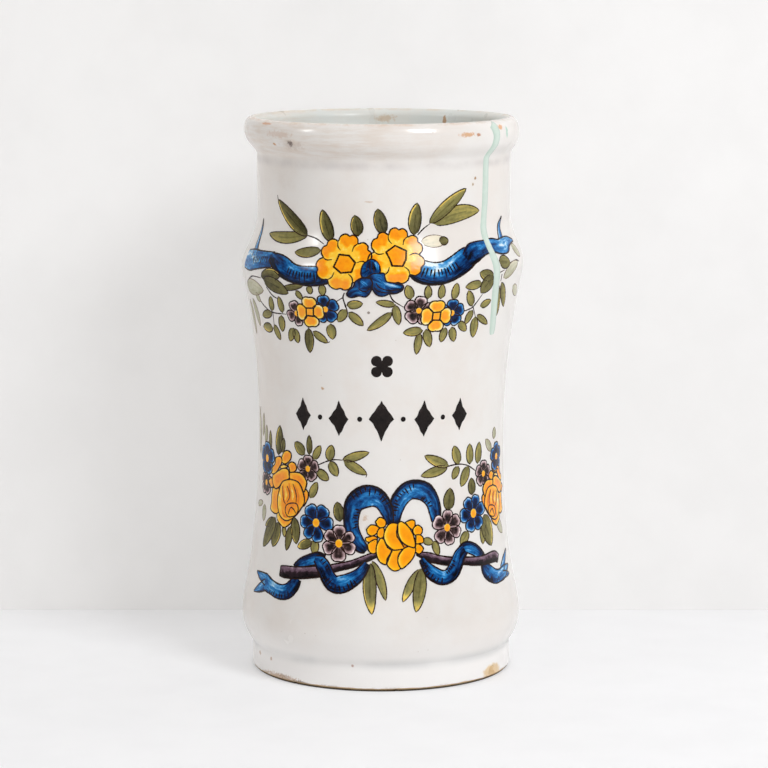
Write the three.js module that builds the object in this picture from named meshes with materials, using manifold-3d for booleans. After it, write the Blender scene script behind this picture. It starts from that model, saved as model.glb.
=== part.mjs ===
// A waisted pharmacy jar, or albarello, of tin-glazed earthenware.
// Millimetres, +Z up, origin at the middle of the face that the jar stands on.
// The front, which carries the painting, faces -Y.
//
// The potter throws the wall, floor, rolled rim and foot in one lump of clay, so the clay
// is one piece. The white is two coats of glaze over it: one poured in and swilled round,
// one dipped outside. They meet on the crest of the rim and stop short of the standing
// edge. A run of green has dried down the outside.

import * as THREE from "three";
import { mergeVertices } from "three/addons/utils/BufferGeometryUtils.js";
import Module from "manifold-3d";

const wasm = await Module();
wasm.setup();

// Outline of the outside, on the surface of the glaze. Heights are the length of each
// stretch, from the standing face up, and radii are steps from the waist.
const waistRadius = 57.7;
const bulgeSwell = 8.1; // lower bulge beyond the waist
const shoulderSwell = 8.1; // shoulder beyond the waist
const footStep = 4.6; // standing edge in from the lower bulge
const grooveDepth = 0.3; // groove over the foot, in from the standing edge
const neckStep = 6.9; // foot of the neck in from the shoulder
const neckFlare = 0.3; // top of the neck out from its foot
const rimOverhang = 4.8; // rolled rim out from the top of the neck

const footHeight = 12.3;
const bulgeRise = 13.7; // groove to the widest part of the bulge
const lowerWaistRise = 88;
const upperWaistRise = 77.5;
const shoulderDrop = 24.5; // shoulder to the foot of the neck
const neckLength = 26.5;
const rollUnderside = 11.5; // top of the neck to the widest part of the rim
const rollTop = 6;

// Wall, floor and lip
const wall = 6.8; // from glaze to glaze, at the side
const lipThickness = 7.6; // at the mouth, across the rolled rim
const crestSetback = 4; // crest of the rim, in from its widest part
const mouthDrop = 3.4; // crest down to the mouth's inner edge
const mouthTaper = 18; // height over which the mouth narrows to the neck
const floorThickness = 10; // from the standing face to the glaze inside
const floorCorner = 14; // radius where the floor turns into the wall

// Turned foot
const footRingWidth = 10;
const footRecess = 2.5;
const recessBevel = 1.5;
const standingChamfer = 0.8;

// Glaze
const glazeThickness = 0.6;
const glazeGap = 0.3; // clearance between a coat and the clay
const glazeStart = 1.2; // bare clay over the standing face
const crestJoint = 0.3; // between the two coats on the crest
const segments = 40; // sides of every turned piece

// Dried green run. Its course has the angle round from the front, to the right, at shares
// of the way down.
const runCourse = [
  { share: 0, angle: 54.3 },
  { share: 0.09, angle: 54.8 },
  { share: 0.18, angle: 51.7 },
  { share: 0.37, angle: 51.3 },
  { share: 0.5, angle: 49.6 },
  { share: 0.6, angle: 50.5 },
  { share: 0.67, angle: 52.2 },
  { share: 0.83, angle: 54 },
  { share: 1, angle: 55.8 },
];
const runLength = 98.4; // down from the crest
const runWidth = 4.4;
const runThickness = 0.4;
const runBlot = 1.6; // extra width where it pools on the rim
const runBlotLength = 9;
const runBead = 0.35; // extra thickness of the drop at its end
const runBeadRise = 2.6; // middle of the drop over the end
const runStep = 3.4; // longest stretch between two of its sections

// Chips in the outside coat, at its lower edge and on the rim. Angle is degrees round
// from the front, rise is the middle's height over the edge of the glaze, or its drop
// from the crest, and bite is how far the chip cuts past the coat into the clay.
const footChips = [
  { angle: 54, rise: 2.6, width: 7.6, height: 6.4, bite: 0.5 },
  { angle: 7, rise: -0.4, width: 6.2, height: 3.2, bite: 1.0 },
  { angle: -26, rise: -0.2, width: 9.0, height: 2.4, bite: 0.3 },
  { angle: -41, rise: 0.2, width: 5.2, height: 3.6, bite: 0.4 },
  { angle: 25, rise: -0.5, width: 8.0, height: 2.2, bite: 0.3 },
  { angle: 150, rise: 0.4, width: 6.0, height: 4.6, bite: 0.5 },
];
const rimChips = [
  { angle: -66, drop: 0.1, width: 7.0, height: 2.6, bite: 0.3 },
  { angle: -41, drop: 9.2, width: 3.4, height: 2.8, bite: 0.2 },
  { angle: 118, drop: 1.2, width: 5.6, height: 3.4, bite: 0.4 },
];

const bulgeRadius = waistRadius + bulgeSwell;
const footRadius = bulgeRadius - footStep;
const shoulderRadius = waistRadius + shoulderSwell;
const neckFootRadius = shoulderRadius - neckStep;
const neckTopRadius = neckFootRadius + neckFlare;
const rimRadius = neckTopRadius + rimOverhang;
const crestRadius = rimRadius - crestSetback;
const mouthRadius = rimRadius - lipThickness;

const bulgeLevel = footHeight + bulgeRise;
const waistLevel = bulgeLevel + lowerWaistRise;
const shoulderLevel = waistLevel + upperWaistRise;
const neckFootLevel = shoulderLevel + shoulderDrop;
const neckTopLevel = neckFootLevel + neckLength;
const rimLevel = neckTopLevel + rollUnderside;
const crestLevel = rimLevel + rollTop;

// A profile is a list of stretches. Each stretch is a curve in the (radius, height) half
// plane and the number of straight steps that it is drawn with.
const at = (radius, level) => new THREE.Vector2(radius, level);

// Curve between two levels whose ends run straight up. Leave and arrive are how far it
// keeps to each end's direction, as shares of its height.
function swell(from, to, leave, arrive, steps) {
  const rise = to.y - from.y;
  const curve = new THREE.CubicBezierCurve(
    from,
    at(from.x, from.y + rise * leave),
    at(to.x, to.y - rise * arrive),
    to,
  );
  return { curve, steps };
}

function straight(from, to) {
  return { curve: new THREE.LineCurve(from, to), steps: 1 };
}

function drawn(stretches) {
  const points = stretches.flatMap(({ curve, steps }) => curve.getPoints(steps).slice(0, -1));
  points.push(stretches.at(-1).curve.getPoint(1));
  return points;
}

// The outside, from the standing face up to the crest of the rim.
function outsideProfile() {
  const groove = at(footRadius - grooveDepth, footHeight);
  const bulge = at(bulgeRadius, bulgeLevel);
  const waist = at(waistRadius, waistLevel);
  const shoulder = at(shoulderRadius, shoulderLevel);
  const neckFoot = at(neckFootRadius, neckFootLevel);
  const neckTop = at(neckTopRadius, neckTopLevel);
  const rim = at(rimRadius, rimLevel);
  const crest = at(crestRadius, crestLevel);
  const underBulge = new THREE.CubicBezierCurve(
    groove,
    at(groove.x + (bulge.x - groove.x) * 0.35, footHeight + bulgeRise * 0.2),
    at(bulge.x, bulgeLevel - bulgeRise * 0.47),
    bulge,
  );
  const overRoll = new THREE.CubicBezierCurve(
    rim,
    at(rim.x, rimLevel + rollTop * 0.63),
    at(crest.x + crestSetback * 0.55, crestLevel),
    crest,
  );
  return drawn([
    straight(at(footRadius, 0), groove),
    { curve: underBulge, steps: 5 },
    swell(bulge, waist, 0.14, 0.7, 5),
    swell(waist, shoulder, 0.58, 0.08, 5),
    swell(shoulder, neckFoot, 0.28, 0.45, 5),
    straight(neckFoot, neckTop),
    swell(neckTop, rim, 0.3, 0.6, 5),
    { curve: overRoll, steps: 4 },
  ]);
}

// The inside, from the crest of the rim down to the middle of the floor.
function insideProfile() {
  const crest = at(crestRadius, crestLevel);
  const mouth = at(mouthRadius, crestLevel - mouthDrop);
  const neckTop = at(neckTopRadius - wall, mouth.y - mouthTaper);
  const neckFoot = at(neckFootRadius - wall, neckFootLevel);
  const shoulder = at(shoulderRadius - wall, shoulderLevel);
  const waist = at(waistRadius - wall, waistLevel);
  const cornerTop = at(bulgeRadius - wall - floorCorner * 0.1, floorThickness + floorCorner);
  const cornerFoot = at(cornerTop.x - floorCorner, floorThickness);
  const intoMouth = new THREE.CubicBezierCurve(
    crest,
    at(crest.x - (crest.x - mouth.x) * 0.55, crestLevel),
    at(mouth.x, mouth.y + mouthDrop * 0.45),
    mouth,
  );
  const corner = new THREE.QuadraticBezierCurve(
    cornerTop,
    at(cornerTop.x, floorThickness),
    cornerFoot,
  );
  return drawn([
    { curve: intoMouth, steps: 3 },
    swell(mouth, neckTop, 0.4, 0.3, 3),
    straight(neckTop, neckFoot),
    swell(neckFoot, shoulder, 0.45, 0.28, 4),
    swell(shoulder, waist, 0.08, 0.58, 4),
    swell(waist, cornerTop, 0.6, 0.2, 4),
    { curve: corner, steps: 3 },
    straight(cornerFoot, at(0, floorThickness)),
  ]);
}

// The unit normal at a point of a profile, to the right of the way that it runs.
function normalAt(points, i) {
  const before = points[Math.max(i - 1, 0)];
  const after = points[Math.min(i + 1, points.length - 1)];
  const run = after.clone().sub(before).normalize();
  return at(run.y, -run.x);
}

// The profile moved into the clay, which is always on its left.
function sunk(points, depth) {
  return points.map((point, i) => point.clone().addScaledVector(normalAt(points, i), -depth));
}

// The part of a profile at or over a level, cut exactly on that level.
function over(points, level) {
  const first = points.findIndex((point) => point.y > level);
  const low = points[first - 1];
  const share = (level - low.y) / (points[first].y - low.y);
  return [low.clone().lerp(points[first], share), ...points.slice(first)];
}

// The same for a profile that starts at the crest, cut at a radius beside it.
function within(points, radius) {
  const first = points.findIndex((point) => point.x < radius);
  const outer = points[first - 1];
  const share = (outer.x - radius) / (outer.x - points[first].x);
  return [outer.clone().lerp(points[first], share), ...points.slice(first)];
}

// The same profile with its long stretches divided, for a piece that lies on it.
function divided(points, longest) {
  return points.flatMap((point, i) => {
    if (i === 0) return [point];
    const before = points[i - 1];
    const parts = Math.ceil(before.distanceTo(point) / longest);
    return Array.from({ length: parts }, (_, k) => before.clone().lerp(point, (k + 1) / parts));
  });
}

function turned(profile) {
  return new THREE.LatheGeometry(profile, segments).rotateX(Math.PI / 2);
}

const outside = outsideProfile();
const inside = insideProfile();
const coat = glazeThickness + glazeGap;

function clayGeometry() {
  const skin = over(sunk(outside, coat), standingChamfer);
  const lining = sunk(inside, coat);
  lining[lining.length - 1].x = 0;
  const edge = skin[0].x - standingChamfer;
  const ringInside = edge - footRingWidth;
  const crest = at(crestRadius, crestLevel - coat);
  return turned([
    at(0, footRecess),
    at(ringInside - recessBevel, footRecess),
    at(ringInside, 0),
    at(edge, 0),
    ...skin.slice(0, -1),
    crest,
    ...lining.slice(1),
  ]);
}

function outsideGlazeGeometry() {
  const joint = crestRadius + crestJoint / 2;
  const beforeJoint = (points) => points.filter(({ x, y }) => y < rimLevel || x > joint);
  const face = [...beforeJoint(over(outside, glazeStart)), at(joint, crestLevel)];
  const back = [
    ...beforeJoint(over(sunk(outside, glazeThickness), glazeStart)),
    at(joint, crestLevel - glazeThickness),
  ];
  return turned([...face, ...back.reverse(), face[0].clone()]);
}

function insideGlazeGeometry() {
  const joint = crestRadius - crestJoint / 2;
  const face = within(inside, joint);
  const back = within(sunk(inside, glazeThickness), joint);
  face[face.length - 1].x = 0;
  back[back.length - 1].x = 0;
  return turned([...back.reverse(), ...face]);
}

// Closed body through sections that each have the same number of points, in order.
function lofted(sections) {
  const count = sections[0].length;
  const positions = sections.flat().flatMap((point) => point.toArray());
  const faces = [];
  for (let row = 0; row + 1 < sections.length; row++) {
    for (let i = 0; i < count; i++) {
      const a = row * count + i;
      const b = row * count + ((i + 1) % count);
      faces.push(a, b, a + count, b, b + count, a + count);
    }
  }
  const last = (sections.length - 1) * count;
  for (let i = 1; i + 1 < count; i++) {
    faces.push(0, i + 1, i, last, last + i, last + i + 1);
  }
  const geometry = new THREE.BufferGeometry();
  geometry.setAttribute("position", new THREE.Float32BufferAttribute(positions, 3));
  geometry.setIndex(faces);
  return geometry;
}

// Angle that the run is at, in radians, a share of the way down.
function runTurn(share) {
  const reached = Math.min(Math.max(share, 0), 1);
  const next = Math.max(1, runCourse.findIndex((mark) => mark.share >= reached));
  const [above, below] = [runCourse[next - 1], runCourse[next]];
  const angle = THREE.MathUtils.mapLinear(
    reached, above.share, below.share, above.angle, below.angle
  );
  return THREE.MathUtils.degToRad(angle);
}

// The run follows the profile from its lower end to the crest and wanders round the jar on
// the way, and each of its sections is a low arch.
function runGeometry() {
  const foot = crestLevel - runLength;
  const path = divided(over(outside, foot), runStep);
  const arch = [
    { across: -0.5, up: 0 },
    { across: -0.3, up: 0.8 },
    { across: 0, up: 1 },
    { across: 0.3, up: 0.8 },
    { across: 0.5, up: 0 },
  ];
  const sections = path.map((point, i) => {
    const fromCrest = (crestLevel - point.y) / runBlotLength;
    const width = runWidth + runBlot * Math.exp(-(fromCrest ** 2));
    const fromBead = (point.y - foot - runBeadRise) / runBeadRise;
    const drop = i === 0 ? 0.4 : 1;
    const thickness = (runThickness + runBead * Math.exp(-(fromBead ** 2))) * drop;
    const normal = normalAt(path, i);
    const turn = runTurn((crestLevel - point.y) / runLength);
    const outward = new THREE.Vector3(Math.sin(turn), -Math.cos(turn), 0);
    const along = new THREE.Vector3(Math.cos(turn), Math.sin(turn), 0);
    return arch.map(({ across, up }) => {
      const base = point.clone().addScaledVector(normal, glazeGap + thickness * up);
      return outward
        .clone()
        .multiplyScalar(base.x)
        .addScaledVector(along, across * width * drop)
        .setZ(base.y);
    });
  });
  return lofted(sections);
}

// A mesh's geometry as a solid for cutting, and back.
function solid(geometry) {
  const bare = geometry.index ? geometry.toNonIndexed() : geometry.clone();
  bare.deleteAttribute("normal");
  bare.deleteAttribute("uv");
  const merged = mergeVertices(bare, 1e-3);
  return new wasm.Manifold(
    new wasm.Mesh({
      numProp: 3,
      vertProperties: merged.attributes.position.array,
      triVerts: new Uint32Array(merged.index.array),
    }),
  );
}

function geometryOf(body) {
  const { vertProperties, triVerts } = body.getMesh();
  const geometry = new THREE.BufferGeometry();
  geometry.setAttribute("position", new THREE.BufferAttribute(vertProperties, 3));
  geometry.setIndex(new THREE.BufferAttribute(triVerts, 1));
  const flat = geometry.toNonIndexed();
  flat.computeVertexNormals();
  return flat;
}

// A flake's outline: a rough ball, flattened against the wall at its place. Its middle
// lies on the surface, so its depth is what it cuts.
function flake({ angle, width, height, bite }, radius, level) {
  const turn = THREE.MathUtils.degToRad(angle);
  const depth = coat + bite;
  return new THREE.IcosahedronGeometry(1, 1)
    .scale(width / 2, depth, height / 2)
    .translate(0, -radius, level)
    .rotateZ(turn);
}

function chipCutters() {
  const radiusAt = (level) => over(outside, level)[0].x;
  const foot = footChips.map((chip) => {
    const level = Math.max(glazeStart + chip.rise, standingChamfer);
    return flake(chip, radiusAt(level), level);
  });
  const rim = rimChips.map((chip) => {
    const level = crestLevel - Math.max(chip.drop, crestJoint);
    return flake(chip, radiusAt(level), level);
  });
  return [...foot, ...rim].map(solid);
}

function chipped(geometry, cutters) {
  return geometryOf(cutters.reduce((body, cutter) => body.subtract(cutter), solid(geometry)));
}

const biscuit = new THREE.MeshStandardMaterial({ color: 0xc79a6f, roughness: 0.9, metalness: 0 });
const tinWhite = new THREE.MeshStandardMaterial({ color: 0xe9e6e1, roughness: 0.18, metalness: 0 });
const liningWhite = new THREE.MeshStandardMaterial({ color: 0xdfe3de, roughness: 0.22, metalness: 0 });
const paleGreen = new THREE.MeshStandardMaterial({ color: 0xc3dccf, roughness: 0.3, metalness: 0 });

function piece(name, geometry, material) {
  const mesh = new THREE.Mesh(geometry, material);
  mesh.name = name;
  return mesh;
}

const cutters = chipCutters();
const jar = new THREE.Group();
jar.add(
  piece("clay_body", chipped(clayGeometry(), cutters), biscuit),
  piece("outside_glaze", chipped(outsideGlazeGeometry(), cutters), tinWhite),
  piece("inside_glaze", insideGlazeGeometry(), liningWhite),
  piece("green_run", runGeometry(), paleGreen),
);

export default jar;
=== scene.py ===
"""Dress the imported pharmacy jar: thrown walls, two glaze coats, a dried run and the painted garlands.

The jar stands on its foot at the origin, with the middle of its painted front towards -Y. The walls and
everything that stands up from them are in metres. The painting is laid out in millimetres on the
unrolled wall: u runs round the jar from the middle of the front, rightwards, on a drum of 60 mm radius,
and v is the height over the table.
"""

import logging
import math
import random
from dataclasses import dataclass, field, replace
from enum import Enum
from typing import Callable, Mapping, Sequence

import bmesh
import bpy
import numpy as np
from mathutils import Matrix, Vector


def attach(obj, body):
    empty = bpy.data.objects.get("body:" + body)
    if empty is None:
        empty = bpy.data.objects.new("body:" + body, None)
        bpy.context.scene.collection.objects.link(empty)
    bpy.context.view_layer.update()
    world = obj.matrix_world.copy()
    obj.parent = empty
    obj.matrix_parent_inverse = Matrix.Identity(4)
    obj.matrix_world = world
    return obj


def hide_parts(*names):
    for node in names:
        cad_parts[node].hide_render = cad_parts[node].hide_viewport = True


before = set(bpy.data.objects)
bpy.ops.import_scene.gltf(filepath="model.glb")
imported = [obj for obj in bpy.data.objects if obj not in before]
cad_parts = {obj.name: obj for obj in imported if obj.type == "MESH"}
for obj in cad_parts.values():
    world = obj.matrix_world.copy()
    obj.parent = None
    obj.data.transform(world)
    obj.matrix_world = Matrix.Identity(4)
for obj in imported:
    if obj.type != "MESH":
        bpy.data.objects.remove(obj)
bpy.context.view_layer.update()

log = logging.getLogger("pharmacy_jar")

MM = 0.001
DRUM = 60.0 * MM

Spot = tuple[float, float]
Socket = bpy.types.NodeSocket


def add_object(name: str, data: bpy.types.ID) -> bpy.types.Object:
    """Put a mesh, a lamp or a camera into the scene as an object of that name."""
    thing = bpy.data.objects.new(name, data)
    bpy.context.scene.collection.objects.link(thing)
    return thing


def colour(code: str) -> tuple[float, float, float, float]:
    """Turn a display colour into the linear one that a shader takes.

    Args:
        code: Six hexadecimal digits, red first.

    Returns:
        Red, green, blue and a full alpha.
    """
    parts = [int(code[i : i + 2], 16) / 255 for i in (0, 2, 4)]
    linear = [p / 12.92 if p <= 0.04045 else ((p + 0.055) / 1.055) ** 2.4 for p in parts]
    return (linear[0], linear[1], linear[2], 1.0)


def bezier(a: Spot, b: Spot, c: Spot, d: Spot, steps: int) -> list[Spot]:
    """Walk along a cubic curve from a to d, leaving a out.

    Args:
        a: Start.
        b: First control point.
        c: Second control point.
        d: End.
        steps: How many points to return.

    Returns:
        The points, the last of which is d.
    """
    walked = []
    for i in range(1, steps + 1):
        t = i / steps
        s = 1 - t
        weights = (s * s * s, 3 * s * s * t, 3 * s * t * t, t * t * t)
        walked.append(tuple(sum(w * p[k] for w, p in zip(weights, (a, b, c, d))) for k in (0, 1)))
    return walked


def swell(start: Spot, end: Spot, leave: float, arrive: float, steps: int) -> list[Spot]:
    """Join two heights of the wall with a curve that stands upright at both.

    Args:
        start: Radius and height where it starts.
        end: Radius and height where it ends.
        leave: Share of the rise that the start stays upright for.
        arrive: The same at the end.
        steps: How many points to return.

    Returns:
        The points, without the start.
    """
    rise = end[1] - start[1]
    return bezier(start, (start[0], start[1] + leave * rise), (end[0], end[1] - arrive * rise), end, steps)


def straight(start: Spot, end: Spot, steps: int) -> list[Spot]:
    """Walk along a straight line from start to end, leaving start out."""
    return [
        (start[0] + (end[0] - start[0]) * i / steps, start[1] + (end[1] - start[1]) * i / steps)
        for i in range(1, steps + 1)
    ]


def offset(points: Sequence[Spot], distance: float) -> list[Spot]:
    """Shift a line sideways.

    Args:
        points: The line.
        distance: How far, towards the left of its direction.

    Returns:
        As many points, each moved along the line's own normal there.
    """
    line = np.array(points, float)
    run = np.gradient(line, axis=0)
    run /= np.linalg.norm(run, axis=1)[:, None]
    return [tuple(p) for p in line + distance * np.stack([-run[:, 1], run[:, 0]], 1)]


def smooth_path(points: Sequence[Sequence[float]], spacing: float) -> np.ndarray:
    """Draw a smooth line through points, with every further column carried along.

    Args:
        points: Rows that start with u and v.
        spacing: The distance between the points returned, in the unit of the rows.

    Returns:
        The denser rows.
    """
    rows = np.array(points, float)
    if len(rows) == 2:
        count = max(2, int(np.linalg.norm(rows[1, :2] - rows[0, :2]) / spacing) + 1)
        return rows[0] + (rows[1] - rows[0]) * np.linspace(0, 1, count)[:, None]
    padded = np.vstack([2 * rows[0] - rows[1], rows, 2 * rows[-1] - rows[-2]])
    drawn = []
    for a, b, c, d in zip(padded, padded[1:], padded[2:], padded[3:]):
        count = max(2, int(np.linalg.norm(c[:2] - b[:2]) / spacing) + 1)
        for t in np.linspace(0, 1, count, endpoint=False):
            square, cube = 2 * a - 5 * b + 4 * c - d, 3 * b - a - 3 * c + d
            drawn.append(0.5 * (2 * b + (c - a) * t + square * t**2 + cube * t**3))
    drawn.append(rows[-1])
    return np.array(drawn)


class Tree:
    """A node tree that is being built, for a material or for geometry."""

    def __init__(self, tree: bpy.types.NodeTree) -> None:
        """Start from an emptied tree."""
        self.tree = tree
        self.tree.nodes.clear()

    def add(
        self,
        kind: str,
        inputs: Mapping[int | str, object] | None = None,
        out: int | str = 0,
        **settings: object,
    ) -> Socket | None:
        """Add one node.

        Args:
            kind: The node's type name.
            inputs: What each input takes, a socket or a plain value, by name or by place.
            out: The output to return, by name or by place.
            settings: The node's own settings.

        Returns:
            The output asked for, or None where the node has none.
        """
        node = self.tree.nodes.new(kind)
        for name, value in settings.items():
            setattr(node, name, value)
        for key, value in (inputs or {}).items():
            if isinstance(value, Socket):
                self.tree.links.new(value, node.inputs[key])
            else:
                node.inputs[key].default_value = value
        return node.outputs[out] if len(node.outputs) else None

    def math(
        self, operation: str, a: object, b: object = 0.0, c: object = 0.0, clamp: bool = False
    ) -> Socket:
        """Add a sum on plain numbers."""
        return self.add("ShaderNodeMath", {0: a, 1: b, 2: c}, operation=operation, use_clamp=clamp)

    def times(self, a: object, b: object) -> Socket:
        """Multiply two numbers."""
        return self.math("MULTIPLY", a, b)

    def plus(self, a: object, b: object) -> Socket:
        """Add two numbers."""
        return self.math("ADD", a, b)

    def minus(self, a: object, b: object) -> Socket:
        """Take b from a."""
        return self.math("SUBTRACT", a, b)

    def vector(self, operation: str, a: object, b: object = (0.0, 0.0, 0.0), out: str = "Vector") -> Socket:
        """Add a sum on vectors."""
        return self.add("ShaderNodeVectorMath", {0: a, 1: b}, out, operation=operation)

    def scaled(self, a: Socket, factor: object) -> Socket:
        """Multiply a vector by a number."""
        return self.add("ShaderNodeVectorMath", {0: a, "Scale": factor}, operation="SCALE")

    def xyz(self, x: object = 0.0, y: object = 0.0, z: object = 0.0) -> Socket:
        """Put three numbers together into a vector."""
        return self.add("ShaderNodeCombineXYZ", {0: x, 1: y, 2: z})

    def split(self, vector: Socket) -> tuple[Socket, Socket, Socket]:
        """Take a vector apart into its three numbers."""
        return tuple(self.add("ShaderNodeSeparateXYZ", {0: vector}, 0).node.outputs)

    def position(self) -> Socket:
        """Return the place of the point at hand in a geometry tree."""
        return self.add("GeometryNodeInputPosition")

    def store(
        self, geometry: Socket, name: str, value: Socket, kind: str = "FLOAT", domain: str = "POINT"
    ) -> Socket:
        """Let a geometry carry a value under a name."""
        inputs = {"Geometry": geometry, "Name": name, "Value": value}
        return self.add("GeometryNodeStoreNamedAttribute", inputs, data_type=kind, domain=domain)

    def below(self, value: Socket, limit: float) -> Socket:
        """Tell where a number is below a limit, in a geometry tree."""
        return self.add(
            "FunctionNodeCompare", {0: value, 1: limit}, data_type="FLOAT", operation="LESS_THAN"
        )

    def noise(
        self, at: Socket, scale: float, detail: float = 2.0, rough: float = 0.5, out: str = "Fac"
    ) -> Socket:
        """Add a soft noise with its middle at a half."""
        return self.add(
            "ShaderNodeTexNoise", {"Vector": at, "Scale": scale, "Detail": detail, "Roughness": rough}, out
        )

    def step(self, value: Socket, low: float, high: float, start: float = 0.0, end: float = 1.0) -> Socket:
        """Rise smoothly from start to end while value goes from low to high."""
        return self.add(
            "ShaderNodeMapRange",
            {0: value, 1: low, 2: high, 3: start, 4: end},
            interpolation_type="SMOOTHSTEP",
        )

    def mix(self, factor: object, a: object, b: object, blend: str = "MIX") -> Socket:
        """Mix two colours."""
        return self.add(
            "ShaderNodeMix",
            {"Factor": factor, 6: a, 7: b},
            2,
            data_type="RGBA",
            blend_type=blend,
            clamp_factor=True,
        )

    def ramp(self, value: Socket, stops: Sequence[tuple[float, str]]) -> Socket:
        """Read a colour off a scale.

        Args:
            value: Where to read, from 0 to 1.
            stops: Each place on the scale with its display colour.

        Returns:
            The colour.
        """
        read = self.add("ShaderNodeValToRGB", {0: value})
        scale = read.node.color_ramp
        for place, code in stops[1:-1]:
            scale.elements.new(place).color = colour(code)
        scale.elements[0].position, scale.elements[0].color = stops[0][0], colour(stops[0][1])
        scale.elements[-1].position, scale.elements[-1].color = stops[-1][0], colour(stops[-1][1])
        return read


@dataclass(frozen=True)
class Patch:
    """A worn, stained or dusty place on the glaze, or a patch of painted shade."""

    u: float
    v: float
    reach: Spot
    code: str
    strength: float = 0.8
    grain: float = 700.0
    cut: float = 0.5
    radius: float = 0.0625
    ragged: float = 1.6


@dataclass(frozen=True)
class Ring:
    """A band round the wall at one height, in metres: dirt, thin glaze, other stains, painted shade and
    painted light.
    """

    level: float
    fade: Spot
    strength: float
    code: str
    grain: tuple[float, float, float] | None = None
    cut: Spot = (0.0, 1.0)
    least: float = 0.0
    most: float = 1.0

    def mask(self, tree: Tree, at: Socket, height: Socket) -> Socket:
        """Return how strong it is at a point, broken up where it has a grain.

        Args:
            tree: The material's tree.
            at: The point on the object.
            height: The point's height.

        Returns:
            The mask, from 0 to 1.
        """
        away = tree.math("ABSOLUTE", tree.minus(height, self.level))
        ring = tree.step(away, *self.fade, self.strength, 0.0)
        if self.grain is None:
            return ring
        return tree.times(ring, tree.step(tree.noise(at, *self.grain), *self.cut, self.least, self.most))


# Painted shade: a soft grey band just under the rolled rim, and a bluish-grey one in the groove over the
# foot.
CREASE_SHADE_RINGS = (
    Ring(0.2410, (0.0, 0.0034), 0.4, "b4acab", (90.0, 4.0, 0.5), (0.3, 0.7), 0.25),
    Ring(0.0128, (0.0, 0.0042), 0.34, "b4b9ba", (30.0, 3.0, 0.5), (0.35, 0.65), 0.35),
)
CREST = Ring(0.26, (0.0001, 0.0014), 1.0, "", (110.0, 5.0, 0.7), (0.42, 0.66), 0.05, 0.6)
GLAZE_END = Ring(0.0, (0.0006, 0.0026), 0.9, "8c6f55", (130.0, 5.0, 0.7), (0.46, 0.62))


class Surface:
    """A material under construction that every fired finish shares."""

    def __init__(self, name: str) -> None:
        """Start an empty material of that name."""
        self.material = bpy.data.materials.new(name)
        self.material.use_nodes = True
        self.tree = Tree(self.material.node_tree)
        self.at = self.tree.add("ShaderNodeTexCoord", out="Object")

    def finish(
        self, base: Socket, rough: Socket | float, relief: Socket, depth: float, specular: float = 0.5
    ) -> bpy.types.Material:
        """Close the material with its shader.

        Args:
            base: The colour.
            rough: The roughness.
            relief: Heights from 0 to 1.
            depth: What a height of 1 is, in metres.
            specular: The specular level.

        Returns:
            The finished material.
        """
        tree = self.tree
        bump = tree.add("ShaderNodeBump", {"Height": relief, "Distance": depth, "Strength": 1.0})
        shader = tree.add(
            "ShaderNodeBsdfPrincipled",
            {"Base Color": base, "Roughness": rough, "Normal": bump, "Specular IOR Level": specular},
        )
        tree.add("ShaderNodeOutputMaterial", {"Surface": shader})
        return self.material

    def glaze_relief(self) -> Socket:
        """Return the faint orange peel and slow waves that the glaze and the colours in it share."""
        tree = self.tree
        peel = tree.noise(self.at, 420.0, 2.0)
        wave = tree.noise(self.at, 75.0, 2.0)
        return tree.plus(tree.times(peel, 0.22), tree.times(wave, 0.78))


GLAZE_DEPTH = 0.00022
GLAZE_ROUGHNESS = 0.16


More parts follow.
